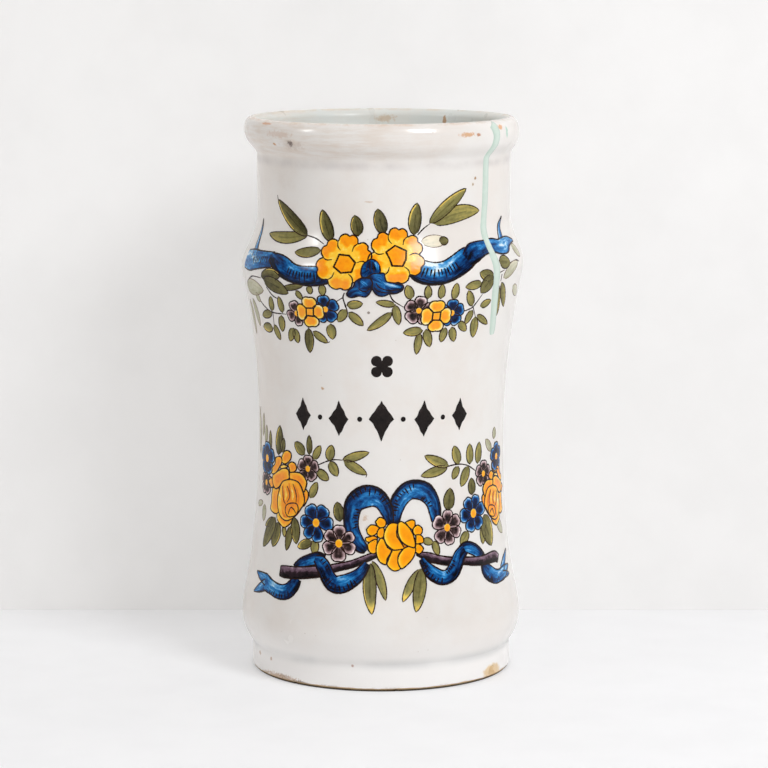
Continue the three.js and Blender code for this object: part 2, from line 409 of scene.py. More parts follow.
@dataclass(frozen=True)
class GlazeFinish:
    """A coat of opaque tin glaze, with its pinholes, thin edges and stains, and its bands and patches of
    painted shade and painted light.
    """

    name: str
    body: str
    low_band: str
    warm: str
    thin: str
    speck: str
    patches: tuple[Patch, ...] = ()
    drips: bool = False
    gloss: float = GLAZE_ROUGHNESS

    def build(self) -> bpy.types.Material:
        """Build the material.

        Returns:
            The finished material.
        """
        surface = Surface(self.name)
        tree = surface.tree
        at = surface.at
        height = tree.split(at)[2]
        blotch = tree.noise(at, 26.0, 4.0, 0.6)
        base = tree.mix(tree.step(blotch, 0.42, 0.66), colour(self.body), colour(self.warm))
        base = tree.mix(self.roll_grime(tree, at, height), base, colour("d0bca8"))
        # Painted light and shade: on the outside coat the low band lightens the foot and the bottom of the
        # bulge; on the lining it turns the floor greyer. The crease rings are painted shade under the roll
        # and in the groove.
        for ring in (
            Ring(0.0, (0.008, 0.034), 0.9, self.low_band), *CREASE_SHADE_RINGS, replace(CREST, code=self.thin), GLAZE_END
        ):
            base = tree.mix(ring.mask(tree, at, height), base, colour(ring.code))
        for patch in self.patches:
            base = self.lay_stain_or_shade(tree, at, base, patch)
        if self.drips:
            base = self.run_down(tree, at, base)
        cells = tree.add(
            "ShaderNodeTexVoronoi", {"Vector": at, "Scale": 330.0, "Randomness": 1.0}, "Distance"
        )
        rare = tree.step(tree.noise(at, 90.0, 2.0), 0.6, 0.68)
        pinholes = tree.times(tree.step(cells, 0.05, 0.12, 1.0, 0.0), rare)
        base = tree.mix(tree.times(pinholes, 0.5), base, colour(self.speck))
        smear = tree.noise(at, 34.0, 4.0, 0.65)
        rough = tree.step(smear, 0.35, 0.75, self.gloss - 0.04, self.gloss + 0.12)
        relief = tree.minus(surface.glaze_relief(), tree.times(pinholes, 0.35))
        return surface.finish(base, rough, relief, GLAZE_DEPTH)

    @staticmethod
    def roll_grime(tree: Tree, at: Socket, height: Socket) -> Socket:
        """Return the mask of the dirt in bands round the left of the rolled rim."""
        flat = tree.noise(tree.vector("MULTIPLY", at, (1.0, 1.0, 7.0)), 55.0, 4.0, 0.65)
        left = tree.step(tree.vector("DOT_PRODUCT", at, (-14.0, -6.0, 0.0), "Value"), -0.5, 0.9)
        roll = tree.times(tree.step(height, 0.241, 0.246), left)
        return tree.times(tree.step(flat, 0.38, 0.7, 0.0, 0.48), roll)

    @staticmethod
    def lay_stain_or_shade(tree: Tree, at: Socket, base: Socket, patch: Patch) -> Socket:
        """Lay one worn, stained or dusty place, or a patch of painted shade, over the colour so far.

        Args:
            tree: The material's tree.
            at: The point on the object.
            base: The colour so far.
            patch: The place.

        Returns:
            The colour with the place in it.
        """
        turn = patch.u * MM / DRUM
        centre = Vector((patch.radius * math.sin(turn), -patch.radius * math.cos(turn), patch.v * MM))
        side = Vector((math.cos(turn), math.sin(turn), 0.0)) / (patch.reach[0] * MM)
        away = tree.vector("SUBTRACT", at, centre)
        across = tree.vector("DOT_PRODUCT", away, side, "Value")
        up = tree.vector("DOT_PRODUCT", away, (0.0, 0.0, 1.0 / (patch.reach[1] * MM)), "Value")
        deep = tree.vector(
            "DOT_PRODUCT", away, Vector((math.sin(turn), -math.cos(turn), 0.0)) / 0.012, "Value"
        )
        far = tree.vector("LENGTH", tree.xyz(across, up, deep), out="Value")
        grain = tree.noise(at, patch.grain, 4.0, 0.7)
        edge = tree.plus(tree.times(tree.minus(grain, 0.5), patch.ragged), far)
        mask = tree.times(tree.step(edge, patch.cut, patch.cut + 0.45, 1.0, 0.0), patch.strength)
        return tree.mix(mask, base, colour(patch.code))

    @staticmethod
    def run_down(tree: Tree, at: Socket, base: Socket) -> Socket:
        """Stain the inside with thin brown drips that ran down from the mouth.

        Args:
            tree: The material's tree.
            at: The point on the object.
            base: The colour so far.

        Returns:
            The colour with the drips in it.
        """
        stretched = tree.vector("MULTIPLY", at, (1.0, 1.0, 0.09))
        streak = tree.step(tree.noise(stretched, 120.0, 3.0, 0.6), 0.6, 0.72)
        short = tree.step(tree.noise(at, 40.0, 2.0), 0.5, 0.62)
        return tree.mix(tree.times(tree.times(streak, short), 0.55), base, colour("b58a5c"))


@dataclass(frozen=True)
class ClayFinish:
    """Bare fired clay, with its grog, the dust that it has taken up, and grime and painted contact shade at
    its standing edge.
    """

    name: str
    body: str
    dark: str
    dust: str
    rings_per_metre: float = 573.0
    grime_and_shade_rise: Spot = (0.0006, 0.0016)
    grime_and_shade_edge: Spot = (0.0568, 0.0598)

    def build(self) -> bpy.types.Material:
        """Build the material.

        Returns:
            The finished material.
        """
        surface = Surface(self.name)
        tree = surface.tree
        at = surface.at
        base = tree.mix(
            tree.step(tree.noise(at, 60.0, 5.0, 0.65), 0.35, 0.65), colour(self.body), colour(self.dark)
        )
        grog = tree.add("ShaderNodeTexVoronoi", {"Vector": at, "Scale": 620.0}, "Distance")
        base = tree.mix(tree.step(grog, 0.1, 0.2, 0.55, 0.0), base, colour(self.dark))
        base = tree.mix(tree.step(tree.noise(at, 300.0, 3.0), 0.55, 0.7, 0.0, 0.5), base, colour(self.dust))
        rings = tree.vector("LENGTH", tree.vector("MULTIPLY", at, (1.0, 1.0, 0.0)), out="Value")
        turning = tree.math("SINE", tree.times(rings, self.rings_per_metre * math.tau))
        # Grime and painted contact shade: the clay turns nearly black in the lowest 1.6 mm, most on the outer
        # part of the foot ring.
        grime_and_shade = tree.step(tree.split(at)[2], *self.grime_and_shade_rise, 0.95, 0.0)
        grime_and_shade = tree.times(grime_and_shade, tree.step(rings, *self.grime_and_shade_edge, 0.25, 1.0))
        base = tree.mix(grime_and_shade, base, colour("2c2019"))
        relief = tree.plus(tree.noise(at, 520.0, 4.0, 0.7), tree.times(turning, 0.12))
        return surface.finish(base, 0.82, relief, 0.0004, 0.25)


@dataclass(frozen=True)
class PaintFinish:
    """A ceramic colour brushed on in one wash, from where it pools to where it thins out.

    The wash of a point runs from 0, deepest, to 1, thinnest. It is the stroke's own tone, plus its slant
    from one side to the other, plus the streaks of the brush.
    """

    name: str
    stops: tuple[tuple[float, str], ...]
    streaks: float
    mottle: float
    along: float
    across: float
    edge: float = 0.0
    shine: float = 0.16

    def build(self) -> bpy.types.Material:
        """Build the material.

        Returns:
            The finished material.
        """
        surface = Surface(self.name)
        tree = surface.tree
        u, v, _ = tree.split(tree.add("ShaderNodeUVMap", uv_map="UVMap"))
        tone, slant, grain = (
            tree.add("ShaderNodeAttribute", out="Fac", attribute_name=name)
            for name in ("tone", "slant", "grain")
        )
        brushed = tree.xyz(
            tree.times(u, self.along),
            tree.times(v, self.across),
            tree.times(grain, 37.0),
        )
        streak = tree.minus(tree.noise(brushed, 1.0, 3.0, 0.6), 0.5)
        mottle = tree.minus(tree.noise(surface.at, 480.0, 3.0, 0.6), 0.5)
        middle = tree.minus(v, 0.5)
        lean = tree.times(tree.times(middle, 2.0), slant)
        rim = tree.times(tree.times(middle, middle), 4.0 * self.edge)
        wash = tree.plus(tone, lean)
        wash = tree.plus(wash, tree.times(streak, 2.0 * self.streaks))
        wash = tree.plus(wash, tree.times(mottle, 2.0 * self.mottle))
        wash = tree.math("ADD", wash, rim, clamp=True)
        base = tree.ramp(wash, self.stops)
        relief = surface.glaze_relief()
        rough = tree.step(
            tree.noise(surface.at, 260.0, 3.0), 0.3, 0.7, GLAZE_ROUGHNESS, GLAZE_ROUGHNESS + 0.08
        )
        return surface.finish(base, rough, relief, GLAZE_DEPTH, self.shine)


class Colours(Enum):
    """The colours on the painter's bench, with the finish that each has after firing."""

    OLIVE = PaintFinish(
        "olive_leaf_colour",
        ((0.0, "35331c"), (0.25, "625c36"), (0.5, "86804c"), (0.78, "bdac5c"), (1.0, "f5d262")),
        streaks=0.26, mottle=0.2, along=0.13, across=6.0,
    )
    # Painted highlight and painted reflection: a washed-out leaf colour for the leaf under the shoulder's
    # highlight and for leaves near the sides, where the glaze reflects at a glancing angle.
    PALE = PaintFinish(
        "pale_leaf_colour",
        ((0.0, "77765a"), (0.35, "a09f80"), (0.7, "c6c3aa"), (1.0, "ebe2cb")),
        streaks=0.3, mottle=0.2, along=0.13, across=6.0,
    )
    YELLOW = PaintFinish(
        "yellow_petal_colour",
        ((0.0, "e07400"), (0.3, "fc9600"), (0.55, "ffae06"), (0.8, "ffcf3e"), (1.0, "ffeeb4")),
        streaks=0.1, mottle=0.3, along=2.0, across=3.0, shine=0.46,
    )
    ROSE = PaintFinish(
        "orange_rose_colour",
        ((0.0, "e67e00"), (0.35, "ffa000"), (0.65, "ffb408"), (0.9, "ffd84a"), (1.0, "ffecac")),
        streaks=0.1, mottle=0.14, along=2.0, across=3.0,
    )
    BLUE = PaintFinish(
        "blue_ribbon_colour",
        (
            (0.0, "030816"),
            (0.2, "06204a"),
            (0.45, "0b4d8c"),
            (0.7, "2a84c6"),
            (0.88, "7dbbe2"),
            (1.0, "dcebf3"),
        ),
        streaks=0.75, mottle=0.2, along=0.16, across=4.4, edge=-0.1,
    )
    SKY = PaintFinish(
        "blue_petal_colour",
        ((0.0, "030a1c"), (0.3, "07285c"), (0.6, "12559c"), (0.85, "3f8cc6"), (1.0, "b8d4ea")),
        streaks=0.1, mottle=0.4, along=2.0, across=3.0,
    )
    PURPLE = PaintFinish(
        "purple_petal_colour",
        ((0.0, "140c0e"), (0.22, "42302f"), (0.48, "8e7376"), (0.75, "c4a9ab"), (1.0, "f0e3e2")),
        streaks=0.14, mottle=0.5, along=2.0, across=5.0,
    )
    TWIG = PaintFinish(
        "brown_twig_colour",
        ((0.0, "0b0709"), (0.35, "2f2028"), (0.7, "84697a"), (1.0, "d2bfc6")),
        streaks=0.36, mottle=0.34, along=0.3, across=3.0,
    )
    LINE = PaintFinish(
        "brown_line_colour",
        ((0.0, "100706"), (0.45, "2b1912"), (1.0, "866a56")),
        streaks=0.2, mottle=0.3, along=0.7, across=1.0,
    )
    BLACK = PaintFinish(
        "black_mark_colour",
        ((0.0, "0c0808"), (0.5, "211917"), (1.0, "5c4f4a")),
        streaks=0.3, mottle=0.34, along=3.0, across=3.0,
    )


class Shaper:
    """A Geometry Nodes tree with named inputs, and what lays it on a mesh for good."""

    def __init__(self, name: str, inputs: Sequence[tuple[str, str]]) -> None:
        """Start the tree.

        Args:
            name: The tree's name.
            inputs: Each further input's name and socket type.
        """
        self.group = bpy.data.node_groups.new(name, "GeometryNodeTree")
        self.tree = Tree(self.group)
        face = self.group.interface
        face.new_socket("Geometry", in_out="INPUT", socket_type="NodeSocketGeometry")
        for label, kind in inputs:
            face.new_socket(label, in_out="INPUT", socket_type=kind)
        face.new_socket("Geometry", in_out="OUTPUT", socket_type="NodeSocketGeometry")
        self.source = self.group.nodes.new("NodeGroupInput")

    def given(self, label: str) -> Socket:
        """Return the socket of an input by its name."""
        return self.source.outputs[label]

    def close(self, geometry: Socket) -> None:
        """End the tree with the instances made real and the material set."""
        solid = self.tree.add("GeometryNodeRealizeInstances", {0: geometry})
        dressed = self.tree.add("GeometryNodeSetMaterial", {0: solid, "Material": self.given("Material")})
        self.tree.add("NodeGroupOutput", {0: dressed})

    def apply(self, source: bpy.types.Mesh, name: str, values: Mapping[str, object]) -> bpy.types.Object:
        """Run the tree on a mesh and keep the result as a plain mesh.

        Args:
            source: What the tree starts from.
            name: The name of the piece.
            values: The value of each named input.

        Returns:
            The piece, with no modifier left on it.
        """
        carrier = add_object("carrier", source)
        modifier = carrier.modifiers.new("shape", "NODES")
        modifier.node_group = self.group
        for item in self.group.interface.items_tree:
            if item.in_out == "INPUT" and item.name in values:
                modifier[item.identifier] = values[item.name]
        graph = bpy.context.evaluated_depsgraph_get()
        mesh = bpy.data.meshes.new_from_object(carrier.evaluated_get(graph))
        bpy.data.objects.remove(carrier)
        mesh.name = name
        mesh.materials.clear()
        mesh.materials.append(values["Material"])
        mesh.polygons.foreach_set("material_index", [0] * len(mesh.polygons))
        return add_object(name, mesh)


def wall_shaper() -> Shaper:
    """Build the tree that throws a wall: it turns a profile round the axis, with the potter's unevenness.

    Returns:
        The tree. Its profile is a chain of vertices with the radius in X and the height in Z.
    """
    shaper = Shaper(
        "thrown_wall",
        (
            ("Facets", "NodeSocketInt"),
            ("Closed", "NodeSocketInt"),
            ("Ridge Height", "NodeSocketFloat"),
            ("Ridge Pitch", "NodeSocketFloat"),
            ("Out Of Round", "NodeSocketFloat"),
            ("Edge Waver", "NodeSocketFloat"),
            ("Seed", "NodeSocketFloat"),
            ("Material", "NodeSocketMaterial"),
        ),
    )
    tree, given = shaper.tree, shaper.given
    count = tree.add("GeometryNodeAttributeDomainSize", {0: given("Geometry")}, "Point Count")
    rows = tree.plus(count, given("Closed"))
    last = tree.minus(rows, 1.0)
    grid = tree.add(
        "GeometryNodeMeshGrid",
        {"Size X": 1.0, "Size Y": 1.0, "Vertices X": tree.plus(given("Facets"), 1.0), "Vertices Y": rows},
    )
    across, along, _ = tree.split(tree.position())
    turn = tree.times(tree.plus(across, 0.5), math.tau)
    level = tree.math("MODULO", tree.math("ROUND", tree.times(tree.plus(along, 0.5), last)), count)
    row = tree.add(
        "GeometryNodeSampleIndex",
        {"Geometry": given("Geometry"), "Value": tree.position(), "Index": level},
        data_type="FLOAT_VECTOR",
    )
    radius, _, height = tree.split(row)
    east, south = tree.math("SINE", turn), tree.math("COSINE", turn)
    ring = tree.xyz(east, south, 0.0)
    climb = tree.plus(tree.math("DIVIDE", height, given("Ridge Pitch")), given("Seed"))
    drift = 0.35
    ridge = tree.noise(tree.xyz(tree.times(east, drift), tree.times(south, drift), climb), 1.0, 1.0)
    slow = tree.noise(
        tree.vector("ADD", ring, tree.xyz(given("Seed"), 0.0, tree.times(height, 9.0))), 0.9, 1.0
    )
    stray = tree.times(tree.minus(ridge, 0.5), given("Ridge Height"))
    stray = tree.plus(stray, tree.times(tree.minus(slow, 0.5), given("Out Of Round")))
    stray = tree.times(stray, tree.step(radius, 0.02, 0.04))
    radius = tree.plus(radius, stray)
    waver = tree.minus(tree.noise(ring, 9.0, 4.0, 0.6), 0.5)
    waver = tree.times(waver, tree.step(height, 0.0005, 0.005, 1.0, 0.0))
    height = tree.plus(height, tree.times(waver, given("Edge Waver")))
    turned = tree.xyz(tree.times(radius, east), tree.times(tree.times(radius, south), -1.0), height)
    shaped = tree.add("GeometryNodeSetPosition", {0: grid, "Position": turned})
    merged = tree.add("GeometryNodeMergeByDistance", {0: shaped, "Distance": 2e-6})
    shaper.close(shade(tree, merged, WALL_CREASE))
    return shaper


WALL_CREASE = 40.0
PAINT_CREASE = 32.0
BLANK = 1.0 * MM
RAY_START = 0.2


def shade(tree: Tree, geometry: Socket, degrees: float) -> Socket:
    """Smooth a surface everywhere but over its sharp edges.

    Args:
        tree: The tree to add to.
        geometry: The surface.
        degrees: The angle from which an edge is sharp.

    Returns:
        The surface, shaded.
    """
    smooth = tree.add("GeometryNodeSetShadeSmooth", {0: geometry, "Shade Smooth": True}, domain="FACE")
    blunt = tree.below(
        tree.add("GeometryNodeInputMeshEdgeAngle", out="Unsigned Angle"), math.radians(degrees)
    )
    return tree.add("GeometryNodeSetShadeSmooth", {0: smooth, "Shade Smooth": blunt}, domain="EDGE")


def named(tree: Tree, label: str) -> Socket:
    """Read a number that the strokes carry by its name."""
    return tree.add("GeometryNodeInputNamedAttribute", {"Name": label}, data_type="FLOAT")


def lay_on_wall(shaper: Shaper, sheet: Socket) -> Socket:
    """Give a flat sheet a thickness and press it onto the wall.

    Args:
        shaper: The tree, with Wall, Sink and Dome among its inputs.
        sheet: The sheet, with u and v in X and Y, in metres.

    Returns:
        The closed, laid sheet.
    """
    tree, given = shaper.tree, shaper.given
    down = tree.below(tree.split(tree.add("GeometryNodeInputNormal"))[2], 0.0)
    sheet = tree.add("GeometryNodeFlipFaces", {0: sheet, "Selection": down})
    low = tree.add("GeometryNodeSetPosition", {0: sheet, "Offset": (0.0, 0.0, -BLANK)})
    raised = tree.add(
        "GeometryNodeExtrudeMesh",
        {"Mesh": low, "Offset": (0.0, 0.0, 1.0), "Offset Scale": BLANK, "Individual": False},
    )
    under = tree.add("GeometryNodeFlipFaces", {0: low})
    joined = tree.add("GeometryNodeJoinGeometry")
    for part in (raised, under):
        tree.tree.links.new(part, joined.node.inputs[0])
    closed = tree.add("GeometryNodeMergeByDistance", {0: joined, "Distance": 1e-6})
    round_wall, level, up = tree.split(tree.position())
    turn = tree.math("DIVIDE", round_wall, DRUM)
    outward = tree.xyz(tree.math("SINE", turn), tree.times(tree.math("COSINE", turn), -1.0), 0.0)
    origin = tree.vector("ADD", tree.scaled(outward, RAY_START), tree.xyz(0.0, 0.0, level))
    cast = tree.add(
        "GeometryNodeRaycast",
        {
            "Target Geometry": tree.add("GeometryNodeObjectInfo", {0: given("Wall")}, "Geometry"),
            "Source Position": origin,
            "Ray Direction": tree.scaled(outward, -1.0),
            "Ray Length": 1.5 * RAY_START,
        },
        "Hit Position",
    )
    skin = tree.step(up, -0.6 * BLANK, -0.4 * BLANK)
    side = tree.minus(tree.times(named(tree, "across"), 2.0), 1.0)
    crown = tree.times(tree.minus(1.0, tree.times(side, side)), given("Dome"))
    top = tree.times(tree.plus(named(tree, "lift"), crown), skin)
    bottom = tree.times(tree.minus(skin, 1.0), given("Sink"))
    rise = tree.scaled(cast.node.outputs["Hit Normal"], tree.plus(top, bottom))
    laid = tree.add("GeometryNodeSetPosition", {0: closed, "Position": tree.vector("ADD", cast, rise)})
    mapped = tree.store(
        laid, "UVMap", tree.xyz(named(tree, "along"), named(tree, "across")), "FLOAT2", "CORNER"
    )
    return shade(tree, mapped, PAINT_CREASE)


LAYING_INPUTS = (
    ("Wall", "NodeSocketObject"),
    ("Sink", "NodeSocketFloat"),
    ("Dome", "NodeSocketFloat"),
    ("Material", "NodeSocketMaterial"),
)


def sheet_shaper() -> Shaper:
    """Build the tree that lays flat petals and other round shapes on the wall.

    Returns:
        The tree.
    """
    shaper = Shaper("laid_shapes", LAYING_INPUTS)
    shaper.close(lay_on_wall(shaper, shaper.given("Geometry")))
    return shaper


def stroke_shaper() -> Shaper:
    """Build the tree that drags a flat brush along chains of points and lays the strokes on the wall.

    Returns:
        The tree. Each point of a chain carries half the stroke's width there.
    """
    shaper = Shaper("brush_strokes", (("Bristles", "NodeSocketInt"), *LAYING_INPUTS))
    tree, given = shaper.tree, shaper.given
    chains = tree.add("GeometryNodeRemoveAttribute", {0: given("Geometry"), "Name": "across"})
    curve = tree.add("GeometryNodeMeshToCurve", {0: chains})
    curve = tree.add("GeometryNodeSetCurveNormal", {0: curve}, mode="Z_UP")
    span = tree.add("GeometryNodeSplineParameter", out="Length")
    curve = tree.store(curve, "along", tree.math("DIVIDE", span, MM))
    brush = tree.add("GeometryNodeCurvePrimitiveLine", {"Start": (1.0, 0.0, 0.0), "End": (-1.0, 0.0, 0.0)})
    brush = tree.add("GeometryNodeResampleCurve", {0: brush, "Count": given("Bristles")})
    brush = tree.store(brush, "across", tree.add("GeometryNodeSplineParameter", out="Factor"))
    swept = tree.add(
        "GeometryNodeCurveToMesh", {
            "Curve": curve, "Profile Curve": brush, "Scale": named(tree, "half_width")
        }
    )
    shaper.close(lay_on_wall(shaper, swept))
    return shaper


def keep_shape(piece: bpy.types.Object, slot: str, *nodes: str) -> bpy.types.Object:
    """Lean a finished piece with the jar, hang it under the jar's root body and hide the CAD nodes that it
    stands for.

    Args:
        piece: The piece.
        slot: Not used.
        nodes: The CAD nodes that it stands for.

    Returns:
        The piece.
    """
    mesh = piece.data
    places = np.empty(len(mesh.vertices) * 3, np.float32)
    mesh.vertices.foreach_get("co", places)
    places = places.reshape(-1, 3)
    places[:, 0] += np.interp(places[:, 2], LEAN[0], LEAN[1])
    mesh.vertices.foreach_set("co", places.ravel())
    mesh.update()
    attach(piece, "root")
    if nodes:
        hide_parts(*nodes)
    log.info("%s: %d faces", piece.name, len(mesh.polygons))
    return piece


LEAN = (
    (0.0, 0.06, 0.11, 0.16, 0.19, 0.199, 0.245, 0.252, 0.26),
    (0.0002, -0.00015, 0.0002, 0.00065, 0.00075, 0.0014, 0.0014, 0.0005, 0.0001),
)


@dataclass
class Flake:
    """A chip knocked out of an edge."""

    angle: float
    height: float
    width: float
    tall: float
    bite: float

    def tool(self, radius: float, seed: int) -> bpy.types.Object:
        """Make the rough lump that takes the chip out.

        Args:
            radius: The wall's radius there, in metres.
            seed: The seed of its roughness.

        Returns:
            The lump.
        """
        lump = bmesh.new()
        bmesh.ops.create_icosphere(lump, subdivisions=4, radius=1.0)
        rng = random.Random(seed)
        waves = [
            (Vector([rng.uniform(-3.2, 3.2) for _ in range(3)]), rng.uniform(0, 6.0), rng.uniform(0.05, 0.13))
            for _ in range(9)
        ]
        deep = 2.6 * self.bite
        for vertex in lump.verts:
            swing = 1.0 + sum(size * math.sin(way.dot(vertex.co) + start) for way, start, size in waves)
            across, away, up = vertex.co * swing
            turn = math.radians(self.angle) + across * self.width / 2 * MM / radius
            reach = radius + (deep - self.bite) * MM + away * deep * MM
            up = self.height + up * self.tall / 2
            vertex.co = Vector((reach * math.sin(turn), -reach * math.cos(turn), up * MM))
        mesh = bpy.data.meshes.new("flake")
        bmesh.ops.recalc_face_normals(lump, faces=lump.faces)
        lump.to_mesh(mesh)
        lump.free()
        return add_object("flake", mesh)


@dataclass
class ThrownJar:
    """The clay of the jar with the two coats on it, all turned from one profile."""

    foot: float = 0.0612
    groove: float = 0.0609
    bulge: float = 0.0658
    waist: float = 0.0577
    neck_foot: float = 0.0589
    neck_top: float = 0.0592
    rim: float = 0.0640
    crest: float = 0.0600
    levels: tuple[float, ...] = (0.0123, 0.0260, 0.1140, 0.1915, 0.2160, 0.2425, 0.2540, 0.2600)
    mouth: Spot = (0.0564, 0.2566)
    throat: Spot = (0.0524, 0.2386)
    inner_neck: float = 0.0521
    inner_shoulder: float = 0.0590
    inner_waist: float = 0.0509
    corner_top: Spot = (0.0576, 0.0240)
    floor: Spot = (0.0436, 0.0100)
    coat: float = 0.0006
    bed: float = 0.0004
    glaze_start: float = 0.0009
    ring_width: float = 0.0100
    recess: float = 0.0025
    facets: int = 288
    foot_chips: tuple[Flake, ...] = (
        Flake(57, 2.8, 9, 5.6, 0.9), Flake(7, -0.4, 6.2, 3.2, 1.6), Flake(-26, -0.2, 9, 2.4, 1.1),
        Flake(-41, 0.2, 5.2, 3.6, 1.2), Flake(25, -0.5, 8, 2.2, 1.1), Flake(150, 0.4, 6, 4.6, 1.3),
    )
    rim_chips: tuple[Flake, ...] = (
        Flake(-66, 259.9, 7, 2.6, 1.1), Flake(-41, 250.8, 3.4, 2.8, 1), Flake(118, 258.8, 5.6, 3.4, 1.2),
    )
    shaper: Shaper = field(default_factory=wall_shaper)

    def outside(self) -> list[Spot]:
        """Return the outside of the wall from the standing edge to the crest of the rim."""
        groove, bulge, waist, shoulder, neck, top, rim, crest = self.levels
        start = (self.foot, 0.0)
        line = [start, *straight(start, (self.groove, groove), 8)]
        rise, swing = bulge - groove, self.bulge - self.groove
        line += bezier(
            line[-1],
            (self.groove + 0.35 * swing, groove + 0.2 * rise),
            (self.bulge, bulge - 0.47 * rise),
            (self.bulge, bulge),
            14,
        )
        line += swell(line[-1], (self.waist, waist), 0.14, 0.7, 44)
        line += swell(line[-1], (self.bulge, shoulder), 0.58, 0.08, 40)
        line += swell(line[-1], (self.neck_foot, neck), 0.28, 0.45, 20)
        line += straight(line[-1], (self.neck_top, top), 12)
        line += swell(line[-1], (self.rim, rim), 0.3, 0.6, 14)
        line += bezier(
            line[-1],
            (self.rim, rim + 0.63 * (crest - rim)),
            (self.crest + 0.55 * (self.rim - self.crest), crest),
            (self.crest, crest),
            12,
        )
        return line

    def inside(self) -> list[Spot]:
        """Return the inside of the wall from the crest of the rim to the middle of the floor."""
        crest = (self.crest, self.levels[-1])
        line = [crest]
        line += bezier(
            crest,
            (crest[0] - 0.0016, crest[1]),
            (self.mouth[0] + 0.0002, self.mouth[1] + 0.0018),
            self.mouth,
            8,
        )
        line += swell(line[-1], self.throat, 0.4, 0.3, 12)
        line += straight(line[-1], (self.inner_neck, self.levels[4]), 10)
        line += swell(line[-1], (self.inner_shoulder, self.levels[3]), 0.45, 0.28, 16)
        line += swell(line[-1], (self.inner_waist, self.levels[2]), 0.08, 0.58, 34)
        line += swell(line[-1], self.corner_top, 0.6, 0.2, 36)
        corner = (self.corner_top[0], self.floor[1])
        line += bezier(line[-1], corner, corner, self.floor, 14)
        return line + straight(line[-1], (0.0, self.floor[1]), 12)

    def clay_profile(self) -> list[Spot]:
        """Return the clay's section: the recess, the foot ring, up the outside and down to the floor."""
        ring = self.foot - self.bed - 0.0008
        under = [
            (0.0, self.recess),
            *straight((0.0, self.recess), (ring - self.ring_width - 0.0015, self.recess), 12),
        ]
        under += [(ring - self.ring_width, 0.0), *straight((ring - self.ring_width, 0.0), (ring, 0.0), 6)]
        skin = offset(self.outside(), self.bed)
        skin = [(r, z) for r, z in skin if z > 0.0009]
        bore = offset(self.inside(), self.bed)[1:-1]
        return under + [(self.foot - self.bed, 0.0008)] + skin[:-1] + bore + [(0.0, bore[-1][1])]

    def outer_coat_profile(self) -> list[Spot]:
        """Return the outside coat's section, once round."""
        line = [(r, z) for r, z in self.outside() if z >= self.glaze_start]
        back = offset(line, self.coat)
        back[-1] = (back[-1][0] - 0.0003, back[-1][1])
        return line + back[::-1]

    def inner_coat_profile(self) -> list[Spot]:
        """Return the inside coat's section, from the axis up its hidden side and down its open side."""
        line = self.inside()
        back = offset(line, self.coat)
        back[-1] = (0.0, back[-1][1])
        back[0] = (back[0][0] + 0.0003, back[0][1])
        return back[::-1] + line

    def turn(
        self,
        name: str,
        profile: Sequence[Spot],
        closed: bool,
        material: bpy.types.Material,
        ridges: float = 0.00022,
    ) -> bpy.types.Object:
        """Turn a section round the axis.

        Args:
            name: The piece's name.
            profile: The section.
            closed: Whether it ends where it starts, off the axis.
            material: The finish.
            ridges: How high the rings left by the hand are, in metres.

        Returns:
            The piece.
        """
        chain = bpy.data.meshes.new("section")
        chain.from_pydata(
            [(r, 0.0, z) for r, z in profile], [(i, i + 1) for i in range(len(profile) - 1)], []
        )
        values = {
            "Facets": self.facets,
            "Closed": int(closed),
            "Ridge Height": ridges,
            "Ridge Pitch": 0.0042,
            "Out Of Round": 0.0009,
            "Edge Waver": 0.0014 if closed else 0.0,
            "Seed": 11.0,
            "Material": material,
        }
        piece = self.shaper.apply(chain, name, values)
        outward = bmesh.new()
        outward.from_mesh(piece.data)
        bmesh.ops.recalc_face_normals(outward, faces=outward.faces)
        outward.to_mesh(piece.data)
        outward.free()
        return piece

    def chip(self, piece: bpy.types.Object, deeper: float) -> None:
        """Knock the chips out of a piece.

        Args:
            piece: The clay or the outside coat.
            deeper: How much further in each chip goes, in millimetres.
        """
        for number, flake in enumerate((*self.foot_chips, *self.rim_chips)):
            radius = self.foot if flake.height < 20 else self.rim
            if flake.height > 259:
                radius = self.crest + 0.003
            grown = Flake(flake.angle, flake.height, flake.width, flake.tall, flake.bite + deeper)
            tool = grown.tool(radius, 40 + number)
            cut = piece.modifiers.new("chip", "BOOLEAN")
            cut.operation, cut.solver, cut.object = "DIFFERENCE", "EXACT", tool
            graph = bpy.context.evaluated_depsgraph_get()
            carved = bpy.data.meshes.new_from_object(piece.evaluated_get(graph))
            piece.modifiers.clear()
            piece.data = carved
            bpy.data.objects.remove(tool)
        piece.data.name = piece.name

    def build(self) -> bpy.types.Object:
        """Build the clay and both coats.

        Returns:
            The unchipped, upright outside coat, for the painting to be laid on.
        """
        tin = OUTSIDE_GLAZE.build()
        clay = self.turn("clay_wall", self.clay_profile(), False, BISCUIT.build())
        coat = self.turn("tin_glaze_coat", self.outer_coat_profile(), True, tin)
        lining = self.turn("lining_coat", self.inner_coat_profile(), False, LINING_GLAZE.build(), 0.00007)
        easel = add_object("easel", coat.data.copy())
        self.chip(coat, 0.0)
        self.chip(clay, -0.25)
        keep_shape(clay, "biscuit_clay", "clay_body")
        keep_shape(coat, "tin_glaze", "outside_glaze")
        keep_shape(lining, "lining_glaze", "inside_glaze")
        return easel


